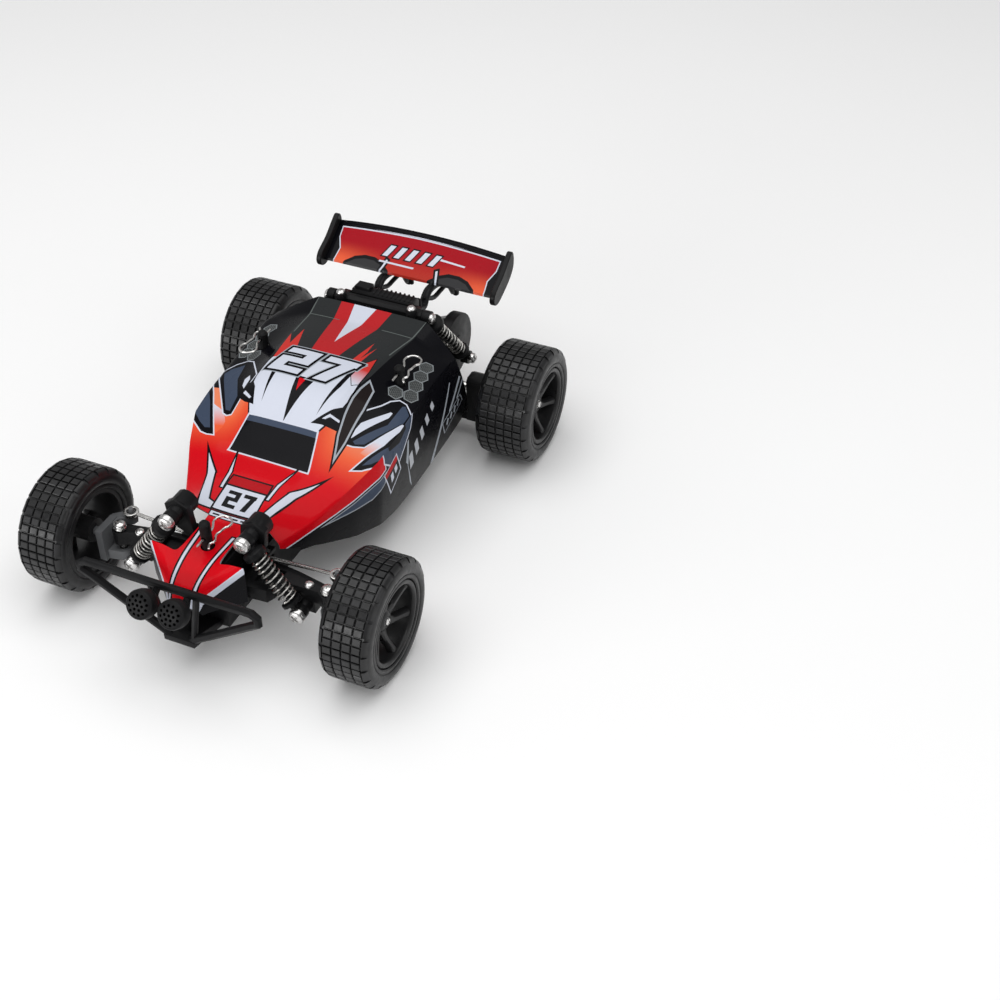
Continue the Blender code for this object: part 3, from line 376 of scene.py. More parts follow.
def left_shoulder(made, plane):
    """The car's left: brow, red wedge, pod stripes and the dark window blade."""
    wedge = [(15.8, 82), (16.4, 91.5), (19.4, 97.2), (20.6, 88), (20.4, 79), (18.6, 77)]
    blush = step_above(made, plane, 86, -8, 2, WHITE, FLAME_RED)
    made.draw(plane, wedge, (0.3, BLACK), (0, blush))
    brow = [(11.2, 55.9), (17.2, 63), (21.2, 67.2), (22.6, 62.4), (23.2, 57.8)]
    made.draw(plane, brow, (0, BLACK))
    strokes = [
        [(14.9, 58.6), (17.2, 61.3), (18.2, 61), (16.3, 58.9)],
        [(17, 61.3), (22.4, 61.5), (22.7, 60.6), (17.6, 60.4)],
    ]
    made.draw(plane, strokes, (0, WHITE))
    gap = [(33.2, 54.6), (41.4, 76), (43.4, 76), (42.6, 69.6), (38.8, 58.8), (36.4, 54)]
    fade = step_above(made, plane, 57, -3, 5, PALE_ORANGE, WHITE)
    made.draw(plane, gap, (0, fade))
    inner_pod = [
        [
            (26.8, 55.4), (27, 70), (31.2, 77), (41.8, 78), (41.5, 74.9), (39.2, 69.4), (35.5, 61.4),
            (33.5, 57.6), (29.4, 55.9),
        ],
        [(31, 76.4), (33.3, 81.7), (35.8, 84.4), (38.6, 84.3), (42.4, 80.9), (46, 76), (42, 75)],
    ]
    made.draw(plane, inner_pod, (0.55, WHITE), (0, BLACK))
    outer_pod = [
        [(33.4, 46.9), (35.9, 52.9), (40.4, 62.4), (46, 66), (46, 56.4), (37, 48.4)],
        [(40, 61.4), (42.5, 73), (46, 79), (46, 58)],
    ]
    made.draw(plane, outer_pod, (0.55, WHITE), (0, BLACK))
    slate = [
        [(28.6, 57.6), (37.4, 71.8), (38.7, 69.4), (34.7, 61.6), (33, 58.6), (29.8, 56.9)],
        [(37, 71.4), (37.8, 82.6), (38.8, 83.4), (41.8, 80.4), (41.6, 75.6), (38.8, 69.6)],
        [(36.2, 50.2), (41.4, 61.6), (46, 69), (46, 61), (39.2, 52)],
    ]
    made.draw(plane, slate, (0, SLATE))
    stripe = [(26.8, 58.6), (28.2, 65.6), (35.4, 77.3), (36.2, 77.2), (35.9, 74.2), (27.6, 58.4)]
    made.draw(plane, stripe, (0, WHITE))
    blade = [
        (22.7, 84.9), (26.3, 81.3), (27, 70.6), (26.5, 55.8), (25.4, 46.4), (22.6, 56.4), (21.7, 64.5),
        (21.3, 72.4), (21.6, 78.2),
    ]
    made.draw(plane, blade, (0.8, BLACK), (0.1, GREY_LINE), (-0.6, BLADE_BROWN))


def right_shoulder(made, plane):
    """The car's right: brow, two slate panels and the white stripe between them."""
    gutter = [(20.9, 64), (20.9, 76), (24, 84), (30, 84), (30, 64)]
    made.draw(plane, gutter, (0, BLACK))
    gap = [(25.6, 48.6), (25.8, 53.6), (28.6, 55), (42.4, 75), (43.6, 74), (42.6, 69.6), (27.4, 45.6)]
    fade = step_above(made, plane, 53, -4, 5, ORANGE, WHITE)
    made.draw(plane, gap, (0.5, fade), (0, fade))
    inner_pod = [
        (24.2, 54.2), (21.9, 71.5), (30, 82.2), (33, 83.2), (37.6, 81.6), (42, 77.6), (41.4, 73.6),
        (28.2, 54.8), (26, 53.8),
    ]
    made.draw(plane, inner_pod, (0.55, WHITE), (0, BLACK))
    outer_pod = [
        (27.5, 45), (39.1, 64.6), (43, 70.5), (46, 72), (46, 55), (37.7, 48.7), (33.7, 45.8),
        (30.5, 45),
    ]
    made.draw(plane, outer_pod, (0.55, WHITE), (0, BLACK))
    slate = [
        [(25.6, 55.6), (25.6, 62), (31.8, 72.6), (38.4, 72.2), (28, 56.2)],
        [(31.4, 72), (33, 80.8), (38.6, 79), (40.6, 76.2), (38.2, 71.8)],
        [(30.6, 47.8), (37.6, 59.8), (43, 67.6), (46, 68), (46, 57.6), (36.8, 50), (33, 47.6)],
    ]
    made.draw(plane, slate, (0, SLATE))
    glint = [(24.2, 65), (23.8, 69.6), (25.4, 72.4), (27, 70.6), (26, 67)]
    made.draw(plane, glint, (0.7, BLACK), (0, WHITE))
    brow = [(11.2, 55.9), (18.2, 64.4), (20.4, 69.6), (23.4, 66), (23.6, 60.6), (20, 58.6)]
    made.draw(plane, brow, (0, BLACK))
    stroke = [(17.6, 60), (22.6, 63.8), (23.2, 62.8), (18.4, 59.6)]
    made.draw(plane, stroke, (0, WHITE))


def mesh_hexagons(made, half):
    """A chain of meshed hexagons beside each rear post."""
    hexagons = []
    for x, y in ((36.6, 107.4), (37, 101.4), (37.6, 95.4), (38.2, 89.6), (32.6, 87.2)):
        corners = [i * math.pi / 3 for i in range(6)]
        hexagons.append([(x + 3.3 * math.cos(a), y + 3.7 * math.sin(a)) for a in corners])
    cells = made.node("ShaderNodeTexBrick", {"Vector": made.place, "Scale": 420, "Mortar Size": 0.05})
    mesh = made.mix(cells.outputs["Fac"], BLACK, HEXAGON_MESH)
    made.draw(half, hexagons, (0, HEXAGON_LINE), (-0.4, mesh))


def shoulders(made, half, x, y):
    """The black rear shoulders and what is printed on each of them."""
    rear = [
        [(22, 76), (22, 84), (26.6, 145), (60, 145), (60, 70), (26, 66)],
        [(22.2, 62), (21, 70), (21, 80), (30, 80), (30, 60)],
    ]
    made.draw(half, rear, (0, BLACK))
    mesh_hexagons(made, half)
    left_shoulder(made, made.plane(x, y))
    right_shoulder(made, made.plane(made.math("MULTIPLY", x, -1), y))


def top_film():
    made = film("shell_film_top")
    x, y, _ = made.car_coordinates()
    distance = made.math("ABSOLUTE", x)
    half = made.plane(distance, y)
    whole = made.plane(x, y)
    warm = made.remap(y, 36, 62, 0, 1, smooth=True)
    outward = made.remap(distance, 12, 26, 0.3, 1, smooth=True)
    corner = made.remap(made.math("ADD", distance, made.math("MULTIPLY", y, -0.25)), 26, 30, 0, 0.45)
    glow = made.math("MAXIMUM", made.math("MULTIPLY", warm, outward), corner)
    orange = made.mix(made.remap(glow, 0, 0.6, 0, 1), RED, ORANGE)
    made.drawn = made.mix(made.remap(glow, 0.6, 1, 0, 1), orange, PALE_ORANGE)
    roof(made, half, whole)
    shoulders(made, half, x, y)
    windshield(made, whole)
    nose_and_hood(made, half, whole)
    roof_number = number((-1.2, 82.6), (13.9, 10.2), 0.14)
    made.draw(whole, roof_number, (1.75, GREY_LINE), (1.25, BLACK), (0, WHITE))
    return made.painted()


def side_film():
    made = film("shell_film_side")
    _, y, z = made.car_coordinates()
    plane = made.plane(y, z)
    fade = made.remap(z, 14, 34, 0, 1)
    made.drawn = made.mix(fade, SKIRT_BLACK, BLACK)
    slate = [(30, 35.6), (58, 42.6), (57, 38.6), (49.5, 35.4)]
    made.draw(plane, slate, (0.5, GREY_LINE), (0, SLATE))
    red = [(8, 52), (8, 33), (33, 38.2), (58, 44.6), (58, 56)]
    made.draw(plane, red, (0.6, WHITE), (0, RED))
    pod = [(58, 60), (58, 47.4), (66, 40.6), (69, 41.4), (73, 44.6), (79.4, 50), (83, 57)]
    made.draw(plane, pod, (0.7, WHITE), (0, SLATE))
    shade = [(60, 60), (62, 50.6), (70, 49.4), (76, 52.4), (76, 60)]
    made.draw(plane, shade, (0, BLACK))
    frame_shape = [(66.6, 45.6), (69.4, 36.8), (61.6, 30.4), (57.4, 41.6)]
    made.draw(plane, frame_shape, (0.6, WHITE), (0, BLACK))
    cap = [(66.6, 45.8), (67.4, 43), (58.2, 39.2), (57.2, 41.8)]
    made.draw(plane, cap, (0, DEEP_RED))
    dashes = [
        [(66.2, 41.6), (67, 38.8), (65.2, 37.3), (64.4, 40.6)],
        [(63.2, 40), (64, 36.2), (62.2, 34.8), (61.4, 39)],
    ]
    made.draw(plane, dashes, (0, WHITE))
    lines = [
        [(115, 49.2), (115.7, 48.6), (102.2, 12), (98.8, 12)],
        [(124.6, 46.2), (126.4, 45), (116.6, 32.6), (115.2, 34)],
        [(129.4, 44), (130.4, 43), (123.4, 35), (122.6, 36)],
        [(76.4, 45.4), (77.6, 45.8), (76.6, 33.4), (74.6, 36)],
        [(74.6, 38.6), (82, 18), (79.4, 22)],
    ]
    made.draw(plane, lines, (0, GREY_LINE))
    bars = []
    for i in range(5):
        y0, z0 = 79 + 5 * i, 29 + 4 * i
        tall, wide = 9.6 - i * 1.1, 2.9 - i * 0.2
        top = z0 + tall
        bars.append([(y0, z0), (y0 + wide, z0 + wide * 0.6), (y0 + wide - 1.8, top), (y0 - 1.8, top - 1.4)])
    made.draw(plane, bars, (0, BAR_GREY))
    label = [(109.8, 31), (113.2, 24), (129.4, 30.4), (126.4, 35)]
    made.draw(plane, label, (0.6, GREY_LINE), (0, BLACK))
    ticks = []
    for step in range(4):
        y0, z0 = 113.6 + 3.4 * step, 28 + 1.1 * step
        ticks.append([(y0, z0), (y0 + 1.5, z0 - 1.6), (y0 + 2.4, z0 + 1.6), (y0 + 0.9, z0 + 3)])
    made.draw(plane, ticks, (0, GREY_LINE))
    return made.painted()


def nose_film():
    """The nose's flanks: red above a white band, black below it."""
    made = film("shell_film_nose")
    x, y, z = made.car_coordinates()
    distance = made.math("ABSOLUTE", x)
    plane = made.plane(distance, z)
    half = made.plane(distance, y)
    made.drawn = RED
    made.draw(half, NOSE_STRIPE, (0.7, BLACK), (0, WHITE))
    below = [(24, 44), (8, 30.4), (4, 20), (24, 20)]
    made.draw(plane, below, (2.4, WHITE), (0, BLACK))
    return made.painted()


def wing_film():
    """A red decal with a thin white outline and two dark corner arches, on a black blade."""
    made = film("wing_film")
    x, y, _ = made.car_coordinates()
    distance = made.math("ABSOLUTE", x)
    half = made.plane(distance, y)
    whole = made.plane(x, y)
    panel = [
        [(-1, 160), (36.8, 160), (36.4, 166), (35.8, 171), (-1, 171)],
        [(-1, 169), (35.4, 169), (38.2, 174.6), (38.4, 178.4), (-1, 178.7)],
    ]
    front_glow = made.remap(y, 164.5, 174, 1, 0, smooth=True)
    outward = made.remap(distance, 10, 36, 0.25, 1, smooth=True)
    red = made.mix(made.math("MULTIPLY", front_glow, outward), WING_RED, ORANGE)
    made.drawn = BLACK
    made.draw(half, panel, (0.5, WHITE), (0, red))
    arch = [
        (8.6, 160), (10, 164.6), (13.6, 167.4), (18, 168.9), (23, 169), (27.6, 167.8), (31.4, 165),
        (33.2, 160),
    ]
    made.draw(half, arch, (0.3, BLACK), (-1.1, ARCH_GREY))
    slash = [(14.6, 160), (15.4, 160), (12.6, 169.4), (11.7, 169)]
    made.draw(half, slash, (0.9, BLACK), (0, WHITE))
    dashes = []
    for left in (-15.4, -9.8, -4.2, 1.4, 7):
        dashes.append([(left, 170.6), (left + 2.6, 170.6), (left + 5.4, 174.8), (left + 2.8, 174.8)])
    made.draw(whole, dashes, (0.5, BLACK), (0, WHITE))
    bars = [
        [(-16, 168), (1, 167.8), (1.4, 168.5), (-15.6, 168.7)],
        [(12, 173.2), (24, 172.8), (24.2, 173.4), (12.4, 173.9)],
    ]
    made.draw(whole, bars, (0, WHITE))
    return made.painted()


MATERIALS = {
    "black": plastic("black_plastic", (0.005, 0.005, 0.0055), 0.40),
    "satin": plastic("satin_black", (0.006, 0.006, 0.0065), 0.34, grain=0.00001),
    "grey": plastic("grey_plastic", (0.085, 0.088, 0.092), 0.42, shine=0.4),
    "rod": plastic("damper_rod_plastic", (0.006, 0.006, 0.0065), 0.34),
    "white": plastic("white_plastic", (0.70, 0.69, 0.64), 0.42, shine=0.4),
    "lamp": plastic("lamp_plastic", (0.006, 0.006, 0.0065), 0.46),
    "rim": plastic("rim_plastic", (0.010, 0.010, 0.0105), 0.34, grain=0.00001, shine=0.3),
    "rubber": rubber(),
    "steel": steel(),
    "screw": steel("screw_steel", (0.78, 0.77, 0.76), 0.26),
    "spring": steel("spring_steel", (0.46, 0.45, 0.43), 0.26),
    "board": board(),
    "cell": cell_wrap(),
    "top": top_film(),
    "side": side_film(),
    "nose": nose_film(),
    # The shell's cut rim: pale grey, a painted highlight standing in for the clear sheet's bright edge.
    "edge": plastic("film_edge_highlight", (0.20, 0.21, 0.225), 0.25, grain=0.000005),
    "inside": plastic("film_inside", (0.03, 0.012, 0.012), 0.4, grain=0.000005),
    "wing": wing_film(),
}


# Mesh building


def mesh_of(name, shape):
    mesh = bpy.data.meshes.new(name)
    shape.to_mesh(mesh)
    shape.free()
    return mesh


def link(name, data):
    made = bpy.data.objects.new(name, data)
    bpy.context.scene.collection.objects.link(made)
    return made


def attach(made, body, node):
    """Says which CAD body a piece rides on and which CAD node it stands in for."""
    if body:
        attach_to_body(made, body)
    if node:
        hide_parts(node)


def add_piece(name, shape, kinds, body=None, node=None, smooth=35):
    """Links a bmesh in car millimetres as a piece that rides on a CAD body."""
    bmesh.ops.recalc_face_normals(shape, faces=shape.faces)
    for vertex in shape.verts:
        vertex.co = car(*vertex.co)
    mesh = mesh_of(name, shape)
    mesh.shade_smooth()
    mesh.set_sharp_from_angle(angle=math.radians(smooth))
    for kind in [kinds] if isinstance(kinds, str) else kinds:
        mesh.materials.append(MATERIALS[kind])
    made = link(name, mesh)
    attach(made, body, node)
    return made


def cut_away(made, cutters):
    """Subtracts the cutters, applies every modifier and leaves the final mesh."""
    for cutter in cutters:
        cut = made.modifiers.new(cutter.name, "BOOLEAN")
        cut.operation = "DIFFERENCE"
        cut.object = cutter
    bpy.context.view_layer.update()
    graph = bpy.context.evaluated_depsgraph_get()
    final = bpy.data.meshes.new_from_object(made.evaluated_get(graph))
    made.modifiers.clear()
    made.data = final
    for cutter in cutters:
        bpy.data.objects.remove(cutter, do_unlink=True)


def frame_along(start, end):
    return (Vector(end) - Vector(start)).to_track_quat("Z", "Y").to_matrix()


def around(start, rotation, radius, angle, along):
    """The point at a radius and an angle about an axis, some way along it."""
    return Vector(start) + rotation @ Vector((radius * math.cos(angle), radius * math.sin(angle), along))


def bridge(shape, rings, looped=False):
    """Joins rings of points with quads, and closes the two ends unless the rings form a loop."""
    rings = [[shape.verts.new(point) for point in ring] for ring in rings]
    pairs = list(zip(rings, rings[1:]))
    if looped:
        pairs.append((rings[-1], rings[0]))
    for here, there in pairs:
        for i in range(len(here)):
            j = (i + 1) % len(here)
            shape.faces.new((here[i], here[j], there[j], there[i]))
    if not looped:
        shape.faces.new(list(reversed(rings[0])))
        shape.faces.new(rings[-1])
    return shape


def lathe(shape, start, end, profile, sides=48, looped=False):
    """Adds a solid of revolution about the line from start to end; profile holds (radius, distance) pairs."""
    rotation = frame_along(start, end)
    angles = [2 * math.pi * i / sides for i in range(sides)]
    rings = [[around(start, rotation, radius, angle, along) for angle in angles] for radius, along in profile]
    return bridge(shape, rings, looped)


def sweep(shape, points, radius, sides=10):
    """Adds a round wire or bar along the points, with rounded ends."""
    points = [Vector(point) for point in points]
    start_way = (points[1] - points[0]).normalized()
    end_way = (points[-1] - points[-2]).normalized()
    radii = [radius * 0.5, *[radius] * len(points), radius * 0.5]
    points = [points[0] - start_way * radius * 0.5, *points, points[-1] + end_way * radius * 0.5]
    rings = []
    side_way = None
    for i, point in enumerate(points):
        ahead = (points[min(i + 1, len(points) - 1)] - points[max(i - 1, 0)]).normalized()
        if side_way is None:
            side_way = ahead.orthogonal().normalized()
        side_way = (side_way - ahead * side_way.dot(ahead)).normalized()
        up_way = ahead.cross(side_way)
        angles = [2 * math.pi * j / sides for j in range(sides)]
        rings.append([point + (side_way * math.cos(a) + up_way * math.sin(a)) * radii[i] for a in angles])
    return bridge(shape, rings)


def curve_point(before, here, there, after, t):
    """A point on the Catmull-Rom curve between here and there."""
    return 0.5 * (
        2 * here
        + (there - before) * t
        + (2 * before - 5 * here + 4 * there - after) * t * t
        + (3 * here - before - 3 * there + after) * t**3
    )


def smooth_path(points, steps):
    """An open curve through the points."""
    points = [Vector(point) for point in points]
    padded = [2 * points[0] - points[1], *points, 2 * points[-1] - points[-2]]
    path = []
    for i in range(1, len(padded) - 2):
        path += [curve_point(*padded[i - 1 : i + 3], step / steps) for step in range(steps)]
    path.append(points[-1])
    return path


def smooth_loop(points, steps):
    """A closed curve through the points of an outline."""
    points = [Vector(point) for point in points]
    path = []
    for i in range(len(points)):
        corners = [points[(i + k - 1) % len(points)] for k in range(4)]
        path += [curve_point(*corners, step / steps) for step in range(steps)]
    return path


def prism(shape, outline, low, high, axis):
    """Adds an outline swept along X, Y or Z."""
    place = "XYZ".index(axis)
    rings = [[[*pair[:place], along, *pair[place:]] for pair in outline] for along in (low, high)]
    return bridge(shape, rings)


def bevelled(made, width, segments, angle):
    modifier = made.modifiers.new("edges", "BEVEL")
    modifier.width = width * MM
    modifier.segments = segments
    modifier.limit_method = "ANGLE"
    modifier.angle_limit = math.radians(angle)
    return made


# CAD nodes that are shown as they are


def both_sides(*names):
    """Each name for the car's left and right."""
    return [name.format(side) for name in names for _, side in SIDES]


# Material, slot, names
KEPT_NODES = (
    ("black", "black_plastic", [
        "chassis_tub", "front_tower", "front_bumper", "rear_tower", "steering_servo", "steering_bar",
        "servo_horn", "drive_case", "gear_cover", "battery_cover", "body_post_front",
        *both_sides("front_arm_{}", "front_shock_{}_body", "rear_shock_{}_body", "body_post_rear_{}"),
    ]),
    ("grey", "grey_plastic", both_sides("knuckle_{}")),
    ("rod", "grey_plastic", both_sides("front_shock_{}_rod", "rear_shock_{}_rod")),
    ("steel", "steel", [
        "rear_hinge_pin", "drive_motor", "motor_pinion", "rear_axle",
        *both_sides("front_hinge_pin_{}", "tie_rod_{}", "kingpin_{}"),
    ]),
    ("white", "white_plastic", ["counter_gear", "power_switch"]),
    ("board", "board_green", ["receiver_board"]),
    ("cell", "cell_wrap", ["battery_cell"]),
)


def dress_kept_nodes():
    """Gives each shown CAD node its material, small edge radii and smooth round faces."""
    for kind, slot, names in KEPT_NODES:
        for name in names:
            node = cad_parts[name]
            node.data.materials.clear()
            node.data.materials.append(MATERIALS[kind])
            for attribute in ("custom_normal", "sharp_edge", "sharp_face"):
                found = node.data.attributes.get(attribute)
                if found:
                    node.data.attributes.remove(found)
            node.data.shade_smooth()
            weld = node.modifiers.new("weld", "WELD")
            weld.merge_threshold = 1e-6
            bevelled(node, 0.22, 2, 38)
            split = node.modifiers.new("split", "EDGE_SPLIT")
            split.split_angle = math.radians(32)


# Wheels


def tyre(name, body, side, y, width, columns):
    """A ring with rounded shoulders, a bead groove, straight rows of tread blocks and shoulder lugs."""
    inner = WHEEL_OUTER_X - width
    start, end = (side * inner, y, TYRE_RADIUS), (side * WHEEL_OUTER_X, y, TYRE_RADIUS)
    half = [
        (17.3, 1.6), (17.4, 0.9), (17.8, 0.45), (18.4, 0.4), (18.9, 0.5), (19.1, 0.75), (19.35, 0.75),
        (19.6, 0.35), (20.3, 0.05), (21.4, 0), (22.4, 0.2), (23.2, 0.65), (23.8, 1.2), (TREAD_BASE, 2.2),
    ]
    profile = half + [(r, width - x) for r, x in reversed(half)]
    shape = lathe(bmesh.new(), start, end, profile, 120, looped=True)
    rotation = frame_along(start, end)
    pitch = (width - 5.6) / columns
    turn = 2 * math.pi / TREAD_ROWS
    for row in range(TREAD_ROWS):
        for column in range(columns):
            add_block(shape, start, rotation, row * turn, turn, 2.8 + pitch * (column + 0.5), pitch)
    for row in range(0, TREAD_ROWS, 2):
        for edge, way in ((2.5, -1), (width - 2.5, 1)):
            add_shoulder_lug(shape, start, rotation, (row + 0.5) * turn, 2 * turn, edge, way)
    add_piece(f"tread_{name}", shape, "rubber", body, f"tyre_{name}", smooth=28)


def add_block(shape, start, rotation, angle, turn, middle_x, pitch):
    """One block: steep walls, a narrow bevel and a flat top."""
    levels = ((TREAD_BASE - 0.1, 0.43, 0.45), (TYRE_RADIUS - 0.26, 0.40, 0.43), (TYRE_RADIUS, 0.32, 0.37))
    rings = []
    for radius, turn_share, pitch_share in levels:
        ring = []
        for u, v in ((-1, -1), (1, -1), (1, 1), (-1, 1)):
            a = angle + u * turn_share * turn
            ring.append(around(start, rotation, radius, a, middle_x + v * pitch_share * pitch))
        rings.append(ring)
    bridge(shape, rings)


def add_shoulder_lug(shape, start, rotation, angle, turn, edge, way):
    """A bar over the shoulder, from the tread down the sidewall."""
    section = (
        (TYRE_RADIUS - 0.05, -0.1), (TYRE_RADIUS - 0.35, 0.7), (TYRE_RADIUS - 0.95, 1.3), (23.5, 1.75),
        (23, 1.9), (22.6, 0),
    )
    rings = []
    for spread in (-0.4, 0.4):
        a = angle + spread * turn
        rings.append([around(start, rotation, radius, a, edge + way * out) for radius, out in section])
    bridge(shape, rings)


def rim(name, body, side, y, width):
    """A deep rim: flat outer ring, barrel, hub and six thin swept spokes."""
    inner, outer = WHEEL_OUTER_X - width + 1.2, WHEEL_OUTER_X - 0.7
    depth = outer - inner
    hub_end = HUB_FACE_X - inner
    start, end = (side * inner, y, TYRE_RADIUS), (side * outer, y, TYRE_RADIUS)
    lip = [
        (15.2, 0.6), (15.6, 0), (RIM_RADIUS, 0), (RIM_RADIUS, depth - 1), (16.95, depth - 0.35),
        (16.5, depth - 0.05), (16, depth), (15.4, depth - 0.2), (15, depth - 0.7), (14.8, depth - 1.6),
        (15.2, depth - 4),
    ]
    shape = lathe(bmesh.new(), start, end, lip, 96, looped=True)
    hub = [
        (4.9, 0.8), (4.9, hub_end - 3.6), (4.4, hub_end - 1), (3.4, hub_end - 0.2), (2.4, hub_end),
        (1.8, hub_end - 0.5),
    ]
    lathe(shape, start, end, hub, 40)
    for spoke in range(6):
        add_spoke(shape, side, y, math.radians(60 * spoke + 18))
    add_piece(f"wheel_{name}", shape, "rim", body, f"rim_{name}", smooth=40)


def add_spoke(shape, side, y, angle):
    """A blade that rises outwards from the hub to the ring, sweeps forwards and flares at both ends."""
    section = ((-1.2, -3), (-1.05, -0.6), (-0.6, 0), (0.6, 0), (1.05, -0.6), (1.2, -3))
    rings = []
    for step in range(13):
        t = step / 12
        radius = 3.2 + t * 12.2
        bend = angle + 0.36 * math.sin(math.pi * 0.5 * t) - 0.1
        face = 70.2 + 3.4 * t**1.5
        half_width = 0.95 + 1.5 * (1 - t) ** 3 + 0.6 * t**4
        across = Vector((0, -math.sin(bend), math.cos(bend)))
        centre = Vector((0, math.cos(bend), math.sin(bend))) * radius
        ring = []
        for u, depth in section:
            point = centre + across * (u * half_width)
            ring.append((side * (face + depth), y + point.y, TYRE_RADIUS + point.z))
        rings.append(ring)
    bridge(shape, rings)


def wheels():
    for side, name in SIDES:
        tyre(f"front_{name}", f"front_wheel_{name}", side, 0, 21, 4)
        rim(f"front_{name}", f"front_wheel_{name}", side, 0, 21)
        tyre(f"rear_{name}", "rear_axle", side, REAR_AXLE_Y, 25, 5)
        rim(f"rear_{name}", "rear_axle", side, REAR_AXLE_Y, 25)


# Screws


def screw_mesh():
    """A pan-head screw of unit radius, head up along Z, with a cross recess."""
    profile = [
        (0.62, -0.2), (1, -0.2), (1, 0.22), (0.94, 0.36), (0.8, 0.5), (0.6, 0.6), (0.3, 0.66), (0.05, 0.67),
    ]
    shape = lathe(bmesh.new(), (0, 0, 0), (0, 0, 1), profile, 28)
    blank = link("screw_blank", mesh_of("screw_blank", shape))
    cutters = []
    for number, (wide, long) in enumerate(((0.13, 0.52), (0.52, 0.13))):
        slot = prism(bmesh.new(), [(-wide, -long), (wide, -long), (wide, long), (-wide, long)], 0.3, 1.2, "Z")
        bmesh.ops.recalc_face_normals(slot, faces=slot.faces)
        cutters.append(link(f"screw_slot{number}", mesh_of(f"screw_slot{number}", slot)))
    cut_away(blank, cutters)
    done = blank.data
    bpy.data.objects.remove(blank, do_unlink=True)
    done.shade_smooth()
    done.set_sharp_from_angle(angle=math.radians(35))
    done.materials.clear()
    done.materials.append(MATERIALS["screw"])
    return done


SCREW = screw_mesh()


def screw(name, body, place, way, radius, turn=0):
    """A screw head whose seat is at place, facing along way."""
    mesh = SCREW.copy()
    rotation = Vector(way).to_track_quat("Z", "Y").to_matrix() @ Matrix.Rotation(turn, 3, "Z")
    mesh.transform(Matrix.LocRotScale(car(*place), rotation, Vector((radius,) * 3) * MM))
    attach(link(name, mesh), body, None)


def screws():
    for side, name in SIDES:
        outwards, arm = (side, 0, 0), f"front_arm_{name}"
        for end_name, body, y in (("front", f"front_wheel_{name}", 0), ("rear", "rear_axle", REAR_AXLE_Y)):
            seat = (side * (HUB_FACE_X - 0.1), y, TYRE_RADIUS)
            screw(f"wheel_screw_{end_name}_{name}", body, seat, outwards, 1.5, 0.4)
        (top_x, _, top_z), (eye_x, _, eye_z) = (mirrored(point, side) for point in FRONT_SHOCK)
        screw(f"front_shock_screw_{name}", "chassis", (top_x, -6.2, top_z), (0, -1, 0), 3.3, 0.3)
        screw(f"front_eye_screw_{name}", arm, (eye_x, -6.2, eye_z), (0, -1, 0), 3.2, 0.9)
        (_, top_y, top_z), (_, eye_y, eye_z) = REAR_SHOCK
        screw(f"rear_shock_screw_{name}", "chassis", (side * 24.7, top_y, top_z), outwards, 2.3, 0.2)
        screw(f"rear_eye_screw_{name}", "drive_unit", (side * 34.8, eye_y, eye_z), outwards, 2.4, 0.7)
        screw(f"arm_screw_{name}", arm, (side * 37.3, 2.7, 28.6), (0, 0, 1), 1.9, 0.5)
        screw(f"kingpin_screw_{name}", arm, (side * 45.7, 1.8, 30.2), (0, 0, 1), 2.4, 0.1)
        screw(f"tower_screw_{name}", "chassis", (side * 16.8, 134.4, 67), (0, -0.2, 1), 1.8, 0.6)


# Springs and clips


COIL_WIRE = 0.38
COIL_TURNS = 9.5
COIL_STEPS = 20
COIL_EASE = 0.028
COIL_FROM_TOP = 7.9
COIL_FROM_BOTTOM = 7.3
CLIP_WIRE = 0.45


def spring(name, start, end, radius):
    """A coil with closed ends, stretched between the damper body and its rod."""
    rotation = frame_along(start, end)
    length = (end - start).length
    count = int(COIL_TURNS * COIL_STEPS)
    points = []
    for i in range(count + 1):
        eased = i / count - COIL_EASE * math.sin(2 * math.pi * i / count)
        points.append(around(start, rotation, radius, 2 * math.pi * i / COIL_STEPS, length * eased))
    shape = sweep(bmesh.new(), points, COIL_WIRE, 8)
    made = add_piece(f"{name}_coil", shape, "spring", None, f"{name}_spring")
    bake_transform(made)


def springs():
    for side, side_name in SIDES:
        for end_name, line, radius in (("front", FRONT_SHOCK, 3.4), ("rear", REAR_SHOCK, 2.9)):
            name = f"{end_name}_shock_{side_name}"
            top, bottom = (Vector(mirrored(point, side)) for point in line)
            way = (bottom - top).normalized()
            spring(name, top + way * COIL_FROM_TOP, bottom - way * COIL_FROM_BOTTOM, radius)


def clips():
    """Spring wire clips through the body posts; the right rear one is turned to point forwards."""
    for name, x, y, _, z in POSTS:
        outline = [(0, -6.2), (0, -3), (0, 2), (-0.2, 4.6)]
        for step in range(13):
            angle = math.radians(205 - 250 * step / 12)
            outline.append((1.4 + 3.5 * math.cos(angle), 9.2 + 3.5 * math.sin(angle)))
        outline += [(3.5, 4.4), (3, 2.2), (3.9, 0), (4.3, -1.6), (3.4, -3.4), (4.6, -5.6)]
        way = -1 if name == "rear_right" else 1
        points = [(x + way * dx, y + way * dy, z) for dx, dy in outline]
        shape = sweep(bmesh.new(), smooth_path(points, 5), CLIP_WIRE, 10)
        add_piece(f"pull_clip_{name}", shape, "steel", f"clip_{name}", f"body_clip_{name}")


# Bumper lamps


